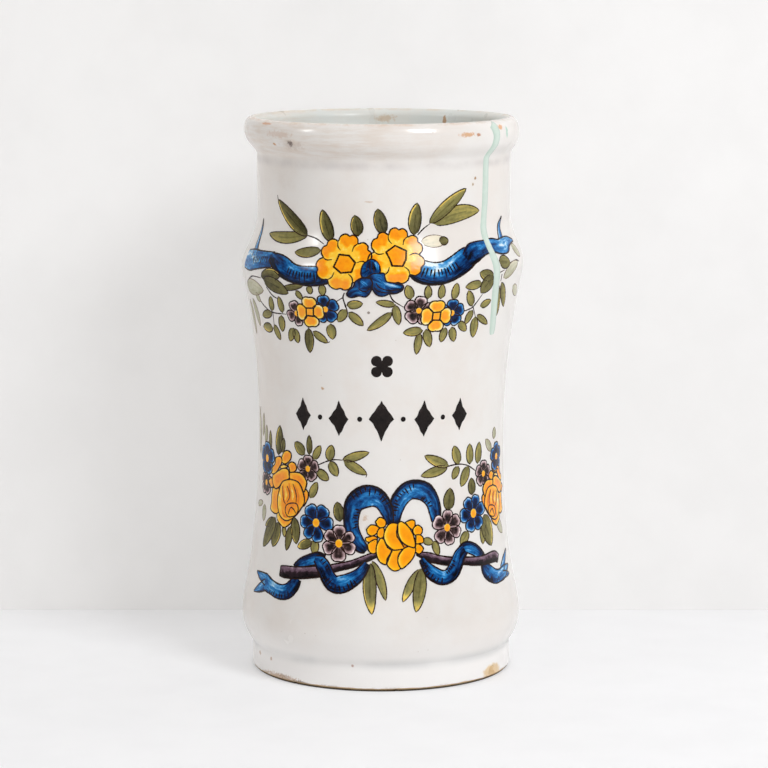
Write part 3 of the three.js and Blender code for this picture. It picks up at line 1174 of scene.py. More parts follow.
@dataclass
class Sketch:
    """Strokes and shapes of one colour, flat on the unrolled wall, before they are laid."""

    name: str
    rows: list[tuple[float, float]] = field(default_factory=list)
    edges: list[tuple[int, int]] = field(default_factory=list)
    faces: list[tuple[int, ...]] = field(default_factory=list)
    carried: dict[str, list[float]] = field(default_factory=lambda: {k: [] for k in CARRIED})

    def put(self, u: float, v: float, **values: float) -> int:
        """Add a point.

        Args:
            u: Its place round the jar, in millimetres.
            v: Its height.
            values: What the point carries.

        Returns:
            The point's number.
        """
        self.rows.append((u * MM, v * MM))
        for key, stack in self.carried.items():
            stack.append(values.get(key, 0.5))
        return len(self.rows) - 1

    def chain(self, points: np.ndarray, closed: bool, lift: float, grain: float, slant: float = 0.0) -> None:
        """Add a stroke.

        Args:
            points: Rows of u, v, half the width and the tone.
            closed: Whether the end joins the start.
            lift: How far it stands off the glaze, in metres.
            grain: The number that tells its streaks from the next stroke's.
            slant: How much the wash changes from its right to its left.
        """
        first = len(self.rows)
        for u, v, half, tone in points:
            self.put(u, v, half_width=max(half, 0.02) * MM, tone=tone, lift=lift, grain=grain, slant=slant)
        count = len(points)
        self.edges += [(first + i, first + i + 1) for i in range(count - 1)]
        if closed:
            self.edges.append((first + count - 1, first))

    def disc(
        self,
        rim: np.ndarray,
        centre: Spot,
        lift: float,
        grain: float,
        tone: Callable[[float, float, int], float],
    ) -> None:
        """Add a filled shape that its centre sees all of.

        Args:
            rim: The outline, rows of u and v.
            centre: The centre.
            lift: How far it stands off the glaze, in metres.
            grain: The number that tells its streaks from the next shape's.
            tone: Gives the tone for a share of the way to the rim, a direction and an outline point.
        """
        middle = np.array(centre)
        reach = float(np.linalg.norm(rim - middle, axis=1).max())
        rings = max(3, int(math.ceil(reach / 0.8)))
        count = len(rim)
        numbers = []
        for ring in range(1, rings + 1):
            share = ring / rings
            row = []
            for i, (u, v) in enumerate(middle + (rim - middle) * share):
                way = math.atan2(v - centre[1], u - centre[0])
                values = {"along": share, "across": abs(2 * i / count - 1), "tone": tone(share, way, i)}
                row.append(self.put(u, v, lift=lift, grain=grain, slant=0.0, **values))
            numbers.append(row)
        heart = tone(0.0, 0.0, 0)
        hub = self.put(*centre, along=0.0, across=0.5, tone=heart, lift=lift, grain=grain, slant=0.0)
        for i in range(count):
            j = (i + 1) % count
            self.faces.append((hub, numbers[0][i], numbers[0][j]))
            for inner, outer in zip(numbers, numbers[1:]):
                self.faces.append((inner[i], outer[i], outer[j], inner[j]))

    def mesh(self) -> bpy.types.Mesh:
        """Return the sketch as a mesh that carries its numbers."""
        mesh = bpy.data.meshes.new(self.name)
        mesh.from_pydata([(u, v, 0.0) for u, v in self.rows], self.edges, self.faces)
        for key, values in self.carried.items():
            mesh.attributes.new(key, "FLOAT", "POINT").data.foreach_set("value", values)
        return mesh


CARRIED = ("half_width", "lift", "tone", "slant", "grain", "along", "across")
FIRST_LIFT = 0.00005
LIFT_STEP = 0.00003


@dataclass(frozen=True)
class Wash:
    """How a colour runs inside its outline, from its heart to the side that the light is on."""

    heart: float = 0.3
    lit: float = 0.8
    towards: float = 90.0
    start: float = 0.45
    floor: float = 0.35

    def tone(self, share: float, way: float, _point: int) -> float:
        """Return the tone at a share of the way out from the heart, in a direction."""
        rise = min(1.0, max(0.0, (share - self.start) / (0.92 - self.start)))
        rise = rise * rise * (3 - 2 * rise)
        facing = 0.5 + 0.5 * math.cos(way - math.radians(self.towards))
        return self.heart + (self.lit - self.heart) * rise * (self.floor + (1 - self.floor) * facing)


@dataclass
class Painter:
    """The painter at the wheel: takes motifs in order and keeps one sketch per colour."""

    easel: bpy.types.Object
    part: str
    strokes: dict[str, Sketch] = field(default_factory=dict)
    shapes: dict[str, Sketch] = field(default_factory=dict)
    pen: float = 0.29
    rng: random.Random = field(default_factory=lambda: random.Random(5))

    def sketch(self, store: dict[str, Sketch], colours: Colours) -> Sketch:
        """Return the sketch of that colour, starting it where there is none."""
        return store.setdefault(colours.name, Sketch(f"{self.part}_{colours.name.lower()}"))

    def stroke(
        self,
        colours: Colours,
        points: Sequence[Sequence[float]],
        level: float,
        closed: bool = False,
        slant: float = 0.0,
        spacing: float = 0.9,
        wobble: float = 0.0,
    ) -> None:
        """Draw a stroke through points.

        Args:
            colours: The colour.
            points: Rows of u, v, half the width and the tone.
            level: How many coats lie under it.
            closed: Whether the end joins the start.
            slant: How much the wash changes from its right to its left.
            spacing: How close the points drawn are.
            wobble: How uneven the pressure of the hand is.
        """
        rows = np.array(points, float)
        if closed:
            rows = np.vstack([rows, rows[:1]])
        drawn = smooth_path(rows, spacing)
        if closed:
            drawn = drawn[:-1]
        if wobble:
            drawn[:, 2] *= 1 + wobble * np.array([self.rng.uniform(-1, 1) for _ in drawn])
        sketch = self.sketch(self.strokes, colours)
        sketch.chain(drawn, closed, FIRST_LIFT + LIFT_STEP * level, self.rng.random(), slant)

    def line(
        self,
        points: Sequence[Spot],
        level: float,
        weight: float = 1.0,
        closed: bool = False,
        tone: float = 0.3,
    ) -> None:
        """Draw a dark line with the fine brush.

        Args:
            points: The points that it goes through.
            level: How many coats lie under it.
            weight: How hard the brush is pressed.
            closed: Whether the end joins the start.
            tone: How thin the colour is.
        """
        half = self.pen * weight
        rows = [[u, v, half, tone] for u, v in points]
        if not closed:
            rows[0][2:] = [half * 0.7, tone + 0.1]
            rows[-1][2:] = [half * 0.5, tone + 0.2]
        self.stroke(Colours.LINE, rows, level, closed, wobble=0.22, spacing=0.7)

    def fill(
        self,
        colours: Colours,
        rim: Sequence[Spot],
        level: float,
        wash: Wash,
        weight: float = 1.0,
        centre: Spot | None = None,
        tone: Callable[[float, float, int], float] | None = None,
    ) -> None:
        """Fill a shape and draw its outline.

        Args:
            colours: The colour.
            rim: Points of the outline.
            level: How many coats lie under it.
            wash: How the colour runs from its heart to its lit side.
            weight: How hard the outline is pressed, or 0 for none.
            centre: A place that sees the whole outline, or None for its middle.
            tone: What gives the tone instead of the wash.
        """
        rows = np.array([*rim, rim[0]], float)
        smooth = smooth_path(np.column_stack([rows, rows[:, :2] * 0]), 0.9)[:-1, :2]
        middle = tuple(smooth.mean(axis=0)) if centre is None else centre
        lift = FIRST_LIFT + LIFT_STEP * level
        self.sketch(self.shapes, colours).disc(smooth, middle, lift, self.rng.random(), tone or wash.tone)
        if weight:
            self.line([tuple(p) for p in smooth], level + 0.5, weight, closed=True)

    def finish(self, sheets: Shaper, brushes: Shaper) -> None:
        """Lay everything on the wall.

        Args:
            sheets: The tree that lays shapes.
            brushes: The tree that drags strokes.
        """
        common = {"Wall": self.easel, "Sink": 0.00012, "Dome": 0.0}
        for store, shaper, suffix in ((self.shapes, sheets, "shapes"), (self.strokes, brushes, "strokes")):
            for key, sketch in store.items():
                values = dict(common, Material=material_of(Colours[key]))
                if shaper is brushes:
                    values["Bristles"] = 3 if key == "LINE" else 7
                piece = shaper.apply(sketch.mesh(), f"{sketch.name}_{suffix}", values)
                keep_shape(piece, "painted_colours")


MATERIALS: dict[str, bpy.types.Material] = {}


def material_of(colours: Colours) -> bpy.types.Material:
    """Return the material of a painter's colour, building it the first time."""
    if colours.name not in MATERIALS:
        MATERIALS[colours.name] = colours.value.build()
    return MATERIALS[colours.name]


def sides(middle: np.ndarray, half: np.ndarray) -> tuple[np.ndarray, np.ndarray, np.ndarray]:
    """Find the two sides of a stroke.

    Args:
        middle: Rows of u and v along it.
        half: Half its width at each row.

    Returns:
        Its left side, its right side and its leftward normals.
    """
    run = np.gradient(middle, axis=0)
    run /= np.linalg.norm(run, axis=1)[:, None]
    normal = np.stack([-run[:, 1], run[:, 0]], 1)
    return middle + normal * half[:, None], middle - normal * half[:, None], normal


@dataclass(frozen=True)
class Leaf:
    """A leaf, pushed from its base to its tip."""

    base: Spot
    tip: Spot
    width: float
    bend: float = 0.0
    glow: float = 0.0
    tone: float = 0.5
    # pale: painted in the washed-out leaf colour, as painted highlight at the front and painted reflection
    # near the sides.
    pale: bool = False
    level: float = 1.0
    ripe: float = 0.0

    def paint(self, painter: Painter) -> None:
        """Paint the leaf, its outline and, where it is broad, the streak down its middle."""
        a, b = np.array(self.base), np.array(self.tip)
        run = b - a
        length = float(np.linalg.norm(run))
        side = np.array([-run[1], run[0]]) / length
        share = np.linspace(0, 1, max(10, int(length / 1.0)))
        middle = a + run * share[:, None] + side * (self.bend * length * np.sin(math.pi * share))[:, None]
        shape = share**0.62 * (1 - share) ** 0.75
        half = shape / shape.max() * self.width / 2
        tone = self.tone + 0.06 - 0.2 * (1 - share) ** 3 + self.ripe * np.clip((share - 0.72) / 0.16, 0, 1)
        colours = Colours.PALE if self.pale else Colours.OLIVE
        rows = np.column_stack([middle, np.maximum(half, 0.05), tone])
        lift = FIRST_LIFT + LIFT_STEP * self.level
        sketch = painter.sketch(painter.strokes, colours)
        sketch.chain(rows, False, lift, painter.rng.random(), 0.04 + 0.16 * self.glow)
        left, right, normal = sides(middle, half)
        if self.width >= 4.5 and not self.pale:
            vein = [
                (u, v, self.width * 0.04, self.tone - 0.16) for u, v in middle[1 : int(len(middle) * 0.7)]
            ]
            painter.stroke(colours, vein, self.level + 0.25, spacing=1.2, wobble=0.4)
        if abs(self.glow) >= 0.4 and not self.pale:
            way = math.copysign(1.0, self.glow)
            band = 0.065 * self.width * abs(self.glow) * np.clip(share / 0.5, 0.3, 1.0)
            near = middle + normal * (way * np.maximum(half - band - 0.15, 0.0))[:, None]
            rows = np.column_stack([near, band, np.full(len(near), 0.88)])[len(near) // 3 : -1]
            painter.stroke(colours, rows, self.level + 0.3, spacing=1.2, wobble=0.2)
        weight, tone = (0.55, 0.8) if self.pale else (0.9, 0.4 if self.width >= 4.6 else 0.48)
        painter.line([tuple(p) for p in left], self.level + 0.5, weight, tone=tone)
        painter.line([tuple(p) for p in right[1:]], self.level + 0.5, weight * 0.9, tone=tone)


def leaves_of(*rows: tuple[float, ...]) -> tuple[Leaf, ...]:
    """Make leaves from rows.

    Args:
        rows: The u and v of the base, those of the tip, and then the other fields in their order.

    Returns:
        The leaves.
    """
    return tuple(Leaf(row[:2], row[2:4], *row[4:]) for row in rows)


def cornered(corners: Sequence[Spot]) -> list[Spot]:
    """Return the outline of a shape with straight sides, six points to a side, which keeps its corners."""
    ends = (*corners[1:], corners[0])
    return [
        (a[0] + (b[0] - a[0]) * t / 6, a[1] + (b[1] - a[1]) * t / 6)
        for a, b in zip(corners, ends)
        for t in range(6)
    ]


@dataclass(frozen=True)
class Sunburst:
    """A broad yellow flower whose petals run together, with a cornered eye."""

    centre: Spot
    radius: float
    petals: tuple[float, ...]
    eye: tuple[Spot, ...]
    level: float = 3.6

    def rim(self) -> list[Spot]:
        """Return the outline, sixteen points for each petal, with two bumps on each."""
        angles = sorted(a % 360 for a in self.petals)
        rows = []
        for k, angle in enumerate(angles):
            before = (angle - angles[k - 1]) % 360
            after = (angles[(k + 1) % len(angles)] - angle) % 360
            for step in range(16):
                share = (step + 0.5) / 8 - 1
                turn = math.radians(angle + share * (before if share < 0 else after) / 2)
                dent = 0.24 * abs(share) ** 4 + 0.07 * math.exp(-((share / 0.16) ** 2))
                far = self.radius * (1 - dent)
                rows.append((self.centre[0] + far * math.cos(turn), self.centre[1] + far * math.sin(turn)))
        return rows

    def paint(self, painter: Painter) -> None:
        """Paint the petals, each deeper in its outer part, the lines between them and the eye."""
        rim = self.rim()
        smooth = len(smooth_path(np.array([*rim, rim[0]]), 0.9)) - 1
        ways = [math.radians(a) for a in self.petals]

        def tone(share: float, way: float, _point: int) -> float:
            """Deepen the wash over the outer part of each petal, with a light rim left round it."""
            aside = min(abs(math.remainder(way - petal, math.tau)) for petal in ways)
            far = math.hypot((share - 0.82 + 0.05 * math.sin(9 * way)) / 0.23, aside / 0.46)
            edge = min(1.0, max(0.0, (1.12 - far) / 0.34))
            return 0.74 + 0.16 * max(0.0, share - 0.5) - 0.46 * edge

        painter.fill(Colours.YELLOW, rim, self.level, Wash(), 1.15, self.centre, tone)
        middle = np.array(self.centre)
        for index in range(0, len(rim), 16):
            notch = (np.array(rim[index]) + rim[index - 1]) / 2
            inner = middle + (notch - middle) * 0.55
            bow = np.array([-(notch - inner)[1], (notch - inner)[0]]) * 0.16
            painter.line(
                [tuple(notch), tuple((notch + inner) / 2 + bow), tuple(inner)], self.level + 0.6, 1.0
            )
        painter.fill(Colours.YELLOW, cornered(self.eye), self.level + 1, Wash(0.34, 0.5), 1.35)


@dataclass(frozen=True)
class Blossom:
    """A small flower seen from the front, each petal painted and outlined by itself round an eye."""

    centre: Spot
    radius: float
    petals: tuple[float, ...]
    colours: Colours
    eye: float = 1.6
    level: float = 4.0

    def paint(self, painter: Painter) -> None:
        """Paint the petals one after the other, then the eye."""
        angles = sorted(a % 360 for a in self.petals)
        bold = self.colours is Colours.YELLOW
        for k, angle in enumerate(angles):
            gap = min(
                (angle - angles[k - 1]) % 360 or 360, (angles[(k + 1) % len(angles)] - angle) % 360 or 360
            )
            wide = self.radius * (0.72 if bold else 0.69) * math.sin(math.radians(min(gap, 84) / 2))
            wide *= painter.rng.uniform(0.95, 1.1)
            long = self.radius * (0.42 if bold else 0.46) * painter.rng.uniform(0.94, 1.06)
            turn = math.radians(angle)
            out = np.array([math.cos(turn), math.sin(turn)])
            side = np.array([-out[1], out[0]])
            hub = np.array(self.centre) + out * (self.radius - long)
            rim = []
            for step in range(18):
                way = math.tau * step / 18
                dent = (0.16 if bold else 0.1) * math.exp(-((min(way, math.tau - way) / 0.3) ** 2))
                grow = wide * (1 + (0.16 if bold else 0.3) * math.cos(way)) * math.sin(way)
                rim.append(tuple(hub + out * long * math.cos(way) * (1 - dent) + side * grow))
            wash = Wash(0.36, 1.0, angle + 40, 0.36, 0.5) if bold else Wash(0.08, 0.96, angle, 0.34, 0.5)
            painter.fill(self.colours, rim, self.level + 0.02 * k, wash, 1.0)
        ring = [math.tau * i / 12 for i in range(12)]
        u, v = self.centre
        spots = [(u + self.eye * math.cos(t), v + self.eye * 1.1 * math.sin(t)) for t in ring]
        if bold:
            spots = cornered([
                (u + self.eye * x, v + self.eye * y) for x, y in ((-1, -0.9), (0.9, -1), (1, 1), (-0.9, 0.9))
            ])
        painter.fill(Colours.YELLOW, spots, self.level + 1.1, Wash(0.45, 0.8), 1.3 if bold else 0.0)


def oval(u: float, v: float, wide: float, tall: float) -> tuple[Spot, ...]:
    """Return an upright oval of twelve points."""
    ways = [math.tau * i / 12 for i in range(12)]
    return tuple((u + wide * math.cos(way), v + tall * math.sin(way)) for way in ways)


@dataclass(frozen=True)
class Petal:
    """One petal of a full rose, or one fold of a knot, drawn by its outline."""

    rim: tuple[Spot, ...]
    wash: Wash = Wash(0.3, 0.86, 180.0, 0.35, 0.25)
    weight: float = 1.05


@dataclass(frozen=True)
class Rose:
    """A full flower or a knot, painted petal over petal, with touches of the brush and lines on top."""

    petals: tuple[Petal, ...]
    colours: Colours
    level: float = 3.6
    lines: tuple[tuple[Spot, ...], ...] = ()
    touches: tuple[tuple[tuple[float, float, float, float], ...], ...] = ()

    def mirrored(self, about: Spot, middle: Spot, scale: float) -> "Rose":
        """Return the flower turned over to face the other way.

        Args:
            about: The place in this flower that is carried over.
            middle: Where that place comes to lie.
            scale: How large the other flower is for a size of 1 here.

        Returns:
            The other flower.
        """

        def over(rows: Sequence[Sequence[float]]) -> tuple:
            """Carry rows that start with u and v over."""
            return tuple(
                (middle[0] - (row[0] - about[0]) * scale, middle[1] + (row[1] - about[1]) * scale, *row[2:])
                for row in rows
            )

        petals = tuple(
            Petal(over(p.rim), replace(p.wash, towards=180.0 - p.wash.towards), p.weight) for p in self.petals
        )
        lines, touches = tuple(map(over, self.lines)), tuple(map(over, self.touches))
        return replace(self, petals=petals, lines=lines, touches=touches)

    def paint(self, painter: Painter) -> None:
        """Paint the petals in order, then the touches, then the lines."""
        for number, petal in enumerate(self.petals):
            painter.fill(self.colours, petal.rim, self.level + 0.55 * number, petal.wash, petal.weight)
        top = self.level + 0.55 * len(self.petals)
        for touch in self.touches:
            painter.stroke(self.colours, touch, top, spacing=0.8, wobble=0.1)
        for line in self.lines:
            painter.line(line, top + 0.3, 1.0)


@dataclass(frozen=True)
class Ribbon:
    """A length of ribbon, painted along its middle, with rows of u, v, half the width and the tone."""

    course: tuple[tuple[float, float, float, float], ...]
    level: float = 2.0
    slant: float = 0.22
    ticks: tuple[tuple[float, float, float, float], ...] = ()
    shadow: float = 0.0

    def paint(self, painter: Painter) -> None:
        """Paint the ribbon, the shadow down one side, the ticks that shade it and its two edges."""
        painter.stroke(Colours.BLUE, self.course, self.level, slant=self.slant, spacing=0.9)
        drawn = smooth_path(self.course, 0.9)
        middle, half = drawn[:, :2], drawn[:, 2]
        left, right, normal = sides(middle, half)
        if self.shadow:
            way = math.copysign(1.0, self.shadow)
            wide = half * abs(self.shadow)
            centre = middle + normal * (way * (half - wide))[:, None]
            rows = np.column_stack([centre, wide, np.full(len(centre), 0.06)])[1:-1:2]
            painter.stroke(Colours.BLUE, rows, self.level + 0.25, slant=-0.2 * way, spacing=0.9, wobble=0.12)
        span = np.concatenate([[0], np.cumsum(np.linalg.norm(np.diff(middle, axis=0), axis=1))])
        for start, end, side, length in self.ticks:
            reach = start
            while reach < end:
                place = np.array([np.interp(reach, span, middle[:, k]) for k in (0, 1)])
                way = np.array([np.interp(reach, span, normal[:, k]) for k in (0, 1)])
                wide = float(np.interp(reach, span, half))
                outer = place + way * wide * side * painter.rng.uniform(0.88, 1.1)
                inner = outer - way * math.copysign(length, side) * painter.rng.uniform(0.55, 1.2)
                inner += np.array([way[1], -way[0]]) * painter.rng.uniform(-0.3, 0.5)
                painter.line(
                    [tuple(outer), tuple((outer + inner) / 2), tuple(inner)],
                    self.level + 0.4,
                    1.3,
                    tone=0.12,
                )
                reach += painter.rng.uniform(1.3, 1.9)
        for side_line in (left, right):
            painter.line([tuple(p) for p in side_line[::2]] + [tuple(side_line[-1])], self.level + 0.5, 1.15)


@dataclass(frozen=True)
class Twig:
    """A bare twig, thick brushed, with a light ridge along its top."""

    course: tuple[tuple[float, float, float], ...]
    level: float = 3.0

    def paint(self, painter: Painter) -> None:
        """Paint the twig with its outline."""
        rows = [(u, v, half, 0.36) for u, v, half in self.course]
        painter.stroke(Colours.TWIG, rows, self.level, slant=0.46, spacing=0.9)
        drawn = smooth_path(rows, 1.2)
        left, right, _ = sides(drawn[:, :2], drawn[:, 2])
        painter.line([tuple(p) for p in np.vstack([left, right[::-1]])], self.level + 0.5, 1.2, closed=True)


@dataclass
class UpperGarland:
    """The garland round the shoulder: a ribbon through two yellow flowers, with posies under it."""

    leaves: tuple[Leaf, ...] = leaves_of(
        (-37, 209, -63.5, 208, 5.2, 0.05, 0.3, 0.5),
        (-37, 209, -57.5, 224, 6.6, 0.03, 0.9, 0.22, False, 1.6),
        (-28.5, 203, -42, 201.3, 4.4, 0.04, 0.4, 0.4), (-24, 207, -29.5, 221, 6.2, 0.05, 1, 0.22),
        (-11.5, 209.5, -13.5, 219, 5.6, 0, 0.6, 0.18), (0.3, 210.5, -2.8, 222, 5.8, 0.03, 0.4, 0.18),
        (14, 210, 15.5, 224.5, 6, 0.02, 1, 0.3), (23.5, 214.8, 49.5, 219.5, 7.4, 0.07, 0.1, 0.55),
        (21.5, 215, 41, 230, 5.8, 0.02, 0.9, 0.46, False, 1.6),
        # Painted highlight: this leaf lies under the highlight on the right of the shoulder and is painted
        # pale.
        (17, 207, 30, 207.2, 5.4, 0, 0.5, 0.95, True),
        (25.6, 206.9, 30.2, 207.2, 3.7, 0, 0, 0.26, False, 2.6),
        (-60.5, 188.5, -47, 190.5, 6.2, 0.04, 0.6, 0.25, False, 3),
        (-59, 187.5, -43.5, 182.5, 6.6, 0.03, 0.1, 0.25, False, 3.6),
        # Leaves marked pale near the sides, here and further down, are painted pale: painted reflection of
        # the glaze at a glancing angle.
        (-46.7, 184.4, -35, 186.7, 2.8, 0, 0.3, 0.3), (-80, 182, -60.5, 182.2, 7.5, 0.03, 0.4, 0.5, True),
        (-69, 180, -65, 176.5, 3, 0, 0.2, 0.5, True), (-74.5, 177, -69.5, 164.5, 4, 0.03, 0.2, 0.5, True),
        (-80, 176, -77, 160, 3.4, 0.03, 0.2, 0.5, True), (-56.1, 173, -55.6, 180, 3.6),
        (-48.6, 173, -50, 180.5, 3.6, 0, 0.5), (-56.4, 172.2, -65.3, 170, 3.8, 0, 0.2, 0.42),
        (-50, 171.7, -50.3, 164, 4.2), (-57.2, 165, -66, 164.7, 4.4, 0, 0.9, 0.5),
        (-56.1, 166.7, -52.3, 160, 3.6), (-43, 166.5, -46, 160, 3.8),
        (-42.2, 166.2, -41, 159.5, 3.8, 0, 0.4), (-34.4, 167, -34.6, 155.5, 4.6, 0, 0.4, 0.25),
        (-32.2, 165.6, -25, 160.8, 3.4), (-23.3, 169.7, -22.5, 162.5, 4.4, 0, -0.5),
        (-15.6, 176.8, -19.5, 170.8, 3.9), (-14.6, 175.4, -8.2, 169.4, 3.8, 0, 0.3),
        (-15.2, 178.5, -8.2, 179.6, 3.8, 0, 0.6), (-32.2, 186.8, -31.6, 183, 3),
        (-25.8, 187.8, -25.9, 182.6, 3.4), (-39.2, 184, -36.2, 180.3, 2.8),
        (12.2, 181.5, 10.3, 188.2, 3.9, 0, 0.5), (19.7, 181.5, 19.2, 187.8, 3.3),
        (25.6, 181.2, 25.6, 188, 3.3), (31.9, 180.4, 32.5, 188.2, 3.7, 0, 0.5),
        (46, 187, 37, 185.9, 4, 0, 0.2), (53, 189, 44, 192, 5, 0, 0.6, 0.4),
        (52.5, 190, 46, 182.5, 7, 0, 0.1, 0.3, False, 1.6), (57, 196, 66, 194.5, 6, 0, 0.3, 0.4),
        (60.6, 188, 75, 194, 5.5, 0.05, 0.5, 0.6, True), (56.4, 185.5, 60, 170.5, 4, 0.03, 0.5, 0.4),
        (59.4, 186.1, 65.3, 174, 4, 0.03, 0.5, 0.45), (73, 202, 81, 196, 4.4, 0, 0.4, 0.6, True),
        (72, 183, 82, 178, 4.6, 0, 0.4, 0.6, True), (5.6, 179, -2.7, 180.4, 3),
        (4.2, 175.8, -6.7, 167.2, 3.6, 0.04, 0.4), (5.3, 179, 7.3, 169.7, 3.6, 0, 0.3),
        (18.1, 167, 9.2, 166, 4, 0, 0.6), (16.7, 165.8, 15.6, 155.8, 3.5, 0, 0.3),
        (19.4, 167.4, 21.8, 159, 4), (28.9, 167.7, 27.1, 161, 3.6), (31.9, 167.7, 34, 160.8, 3.8, 0, 0.4),
        (35.6, 169.9, 40.2, 165.3, 3.6), (42.5, 174.9, 39.2, 168.6, 3.4),
        (42.2, 176.7, 38.8, 184.2, 3.8, 0, 0.3), (47, 176.1, 53.6, 178.4, 3.4, 0, 0.5),
        (45.6, 172.2, 53.6, 167.3, 3), (44.7, 171.6, 44.7, 161.8, 4.6, 0, 0.4),
    )
    stems: tuple[tuple[Spot, ...], ...] = (
        ((-37, 209), (-32, 207.8), (-27.5, 205.5)), ((15.5, 210), (18.5, 212.8), (21.5, 214.8)),
        ((-75, 186), (-69, 188), (-61, 188)), ((-65, 177), (-61.5, 174.5), (-56, 172.5), (-46.5, 172.5)),
        ((-55.8, 172), (-56.1, 165)), ((-57.8, 184.2), (-54, 180.5), (-50, 179.2)),
        ((-34.7, 168), (-34, 165)), ((-25, 160.8), (-24, 161.4)),
        ((-16, 184.4), (-16.7, 182), (-15.8, 178.3), (-15, 176)), ((-16.7, 182.2), (-19.7, 180.3)),
        ((-57.5, 224), (-57.9, 226)), ((65, 194.4), (73, 195), (77, 194)), ((55.8, 190.6), (60.6, 191.7)),
        ((59, 190), (58.6, 186.7)), ((3, 184.2), (4.7, 181), (9, 178)), ((5.6, 179.4), (4.2, 175.6)),
        ((36.7, 174.4), (41.7, 175.8), (44, 177.8), (47.2, 181.7)), ((42.8, 176), (44.7, 171.7)),
    )
    # Painted reflection: the ribbon ends near the sides get light tones, as the glaze there reflects at a
    # glancing angle.
    ribbons: tuple[Ribbon, ...] = (
        Ribbon(((-70.5, 197, 2.2, 0.6), (-72.5, 203, 1.4, 0.7), (-73, 209, 0.8, 0.7),
            (-73, 214, 0.1, 0.6)), 1.8),
        Ribbon(((-80, 195, 4, 0.8), (-72, 195.2, 4.8, 0.74), (-66, 195.8, 4.2, 0.66),
            (-60, 196.4, 3.7, 0.6), (-54, 197, 3.3, 0.4)), 2, 0.1, ((10, 22, 0.45, 3.4),)),
        Ribbon(((-56, 198.5, 1.6, 0.24), (-51, 196.5, 3.4, 0.2), (-46.5, 194.5, 4.2, 0.34),
            (-42.5, 192.6, 4.2, 0.5), (-38, 191.5, 4.1, 0.48), (-32, 191.2, 4.4, 0.42), (-25, 192, 4, 0.36),
            (-19, 193.5, 3.2, 0.2)), 2.8, 0.28, ((14, 31, 0.4, 3.8),), -0.2),
        Ribbon(((7, 197, 3, 0.1), (13, 196, 4.4, 0.46), (17, 193.8, 5, 0.64), (22, 192.8, 5, 0.7),
            (27, 193.4, 4.9, 0.64), (32, 195.6, 4.9, 0.5), (37, 198.4, 4.7, 0.34),
            (40, 200, 4.2, 0.08)), 2, 0.46, ((9, 28, 0.42, 4),), -0.2),
        Ribbon(((38, 198, 3.2, 0.12), (42, 200.9, 4.2, 0.24), (47, 202.4, 3.4, 0.46), (51, 203, 2.9, 0.4),
            (56, 203.2, 3.1, 0.52), (61, 202.2, 3.2, 0.74), (66, 202.6, 3.4, 0.78), (71, 204, 2, 0.7),
            (78, 203.6, 0.3, 0.6)), 2.8, 0.2),
        Ribbon(((62.5, 203, 2, 0.6), (64.5, 205.5, 2, 0.65), (65.5, 211, 1.1, 0.7),
            (69.5, 215.3, 0.1, 0.7)), 1.8),
    )
    suns: tuple[Sunburst, ...] = (
        Sunburst((-17, 198), 12.4, (29, 83, 142, 196, 267, 330), ((-15, 201), (-12, 198), (-13, 194),
            (-17.5, 193.4), (-21, 196), (-19.5, 201.3))),
        Sunburst((5.5, 201), 12.4, (31, 83, 137, 201, 274, 334), ((5, 205.5), (9.8, 203.2), (9.4, 199.5),
            (8, 196.6), (3.6, 196.8), (2.4, 200), (1, 202.7))),
    )
    flowers: tuple[Blossom, ...] = (
        Blossom((-40, 173.5), 6, (109, 37, 201, 279, 335), Colours.PURPLE, 1.2),
        Blossom((-25, 176.4), 6.6, (100, 28, 172, 240, 310), Colours.SKY, 1.2),
        Blossom((-32.8, 174.7), 7.2, (90, 5, 185, 275), Colours.YELLOW, 1.9, 5.4),
        Blossom((15.8, 176.2), 6.8, (80, 150, 225, 300, 10), Colours.PURPLE, 1.2),
        Blossom((31.5, 174.3), 6.4, (90, 20, 160, 235, 305), Colours.SKY, 1.2),
        Blossom((24, 173.3), 7.4, (90, 0, 180, 270), Colours.YELLOW, 1.9, 5.4),
    )
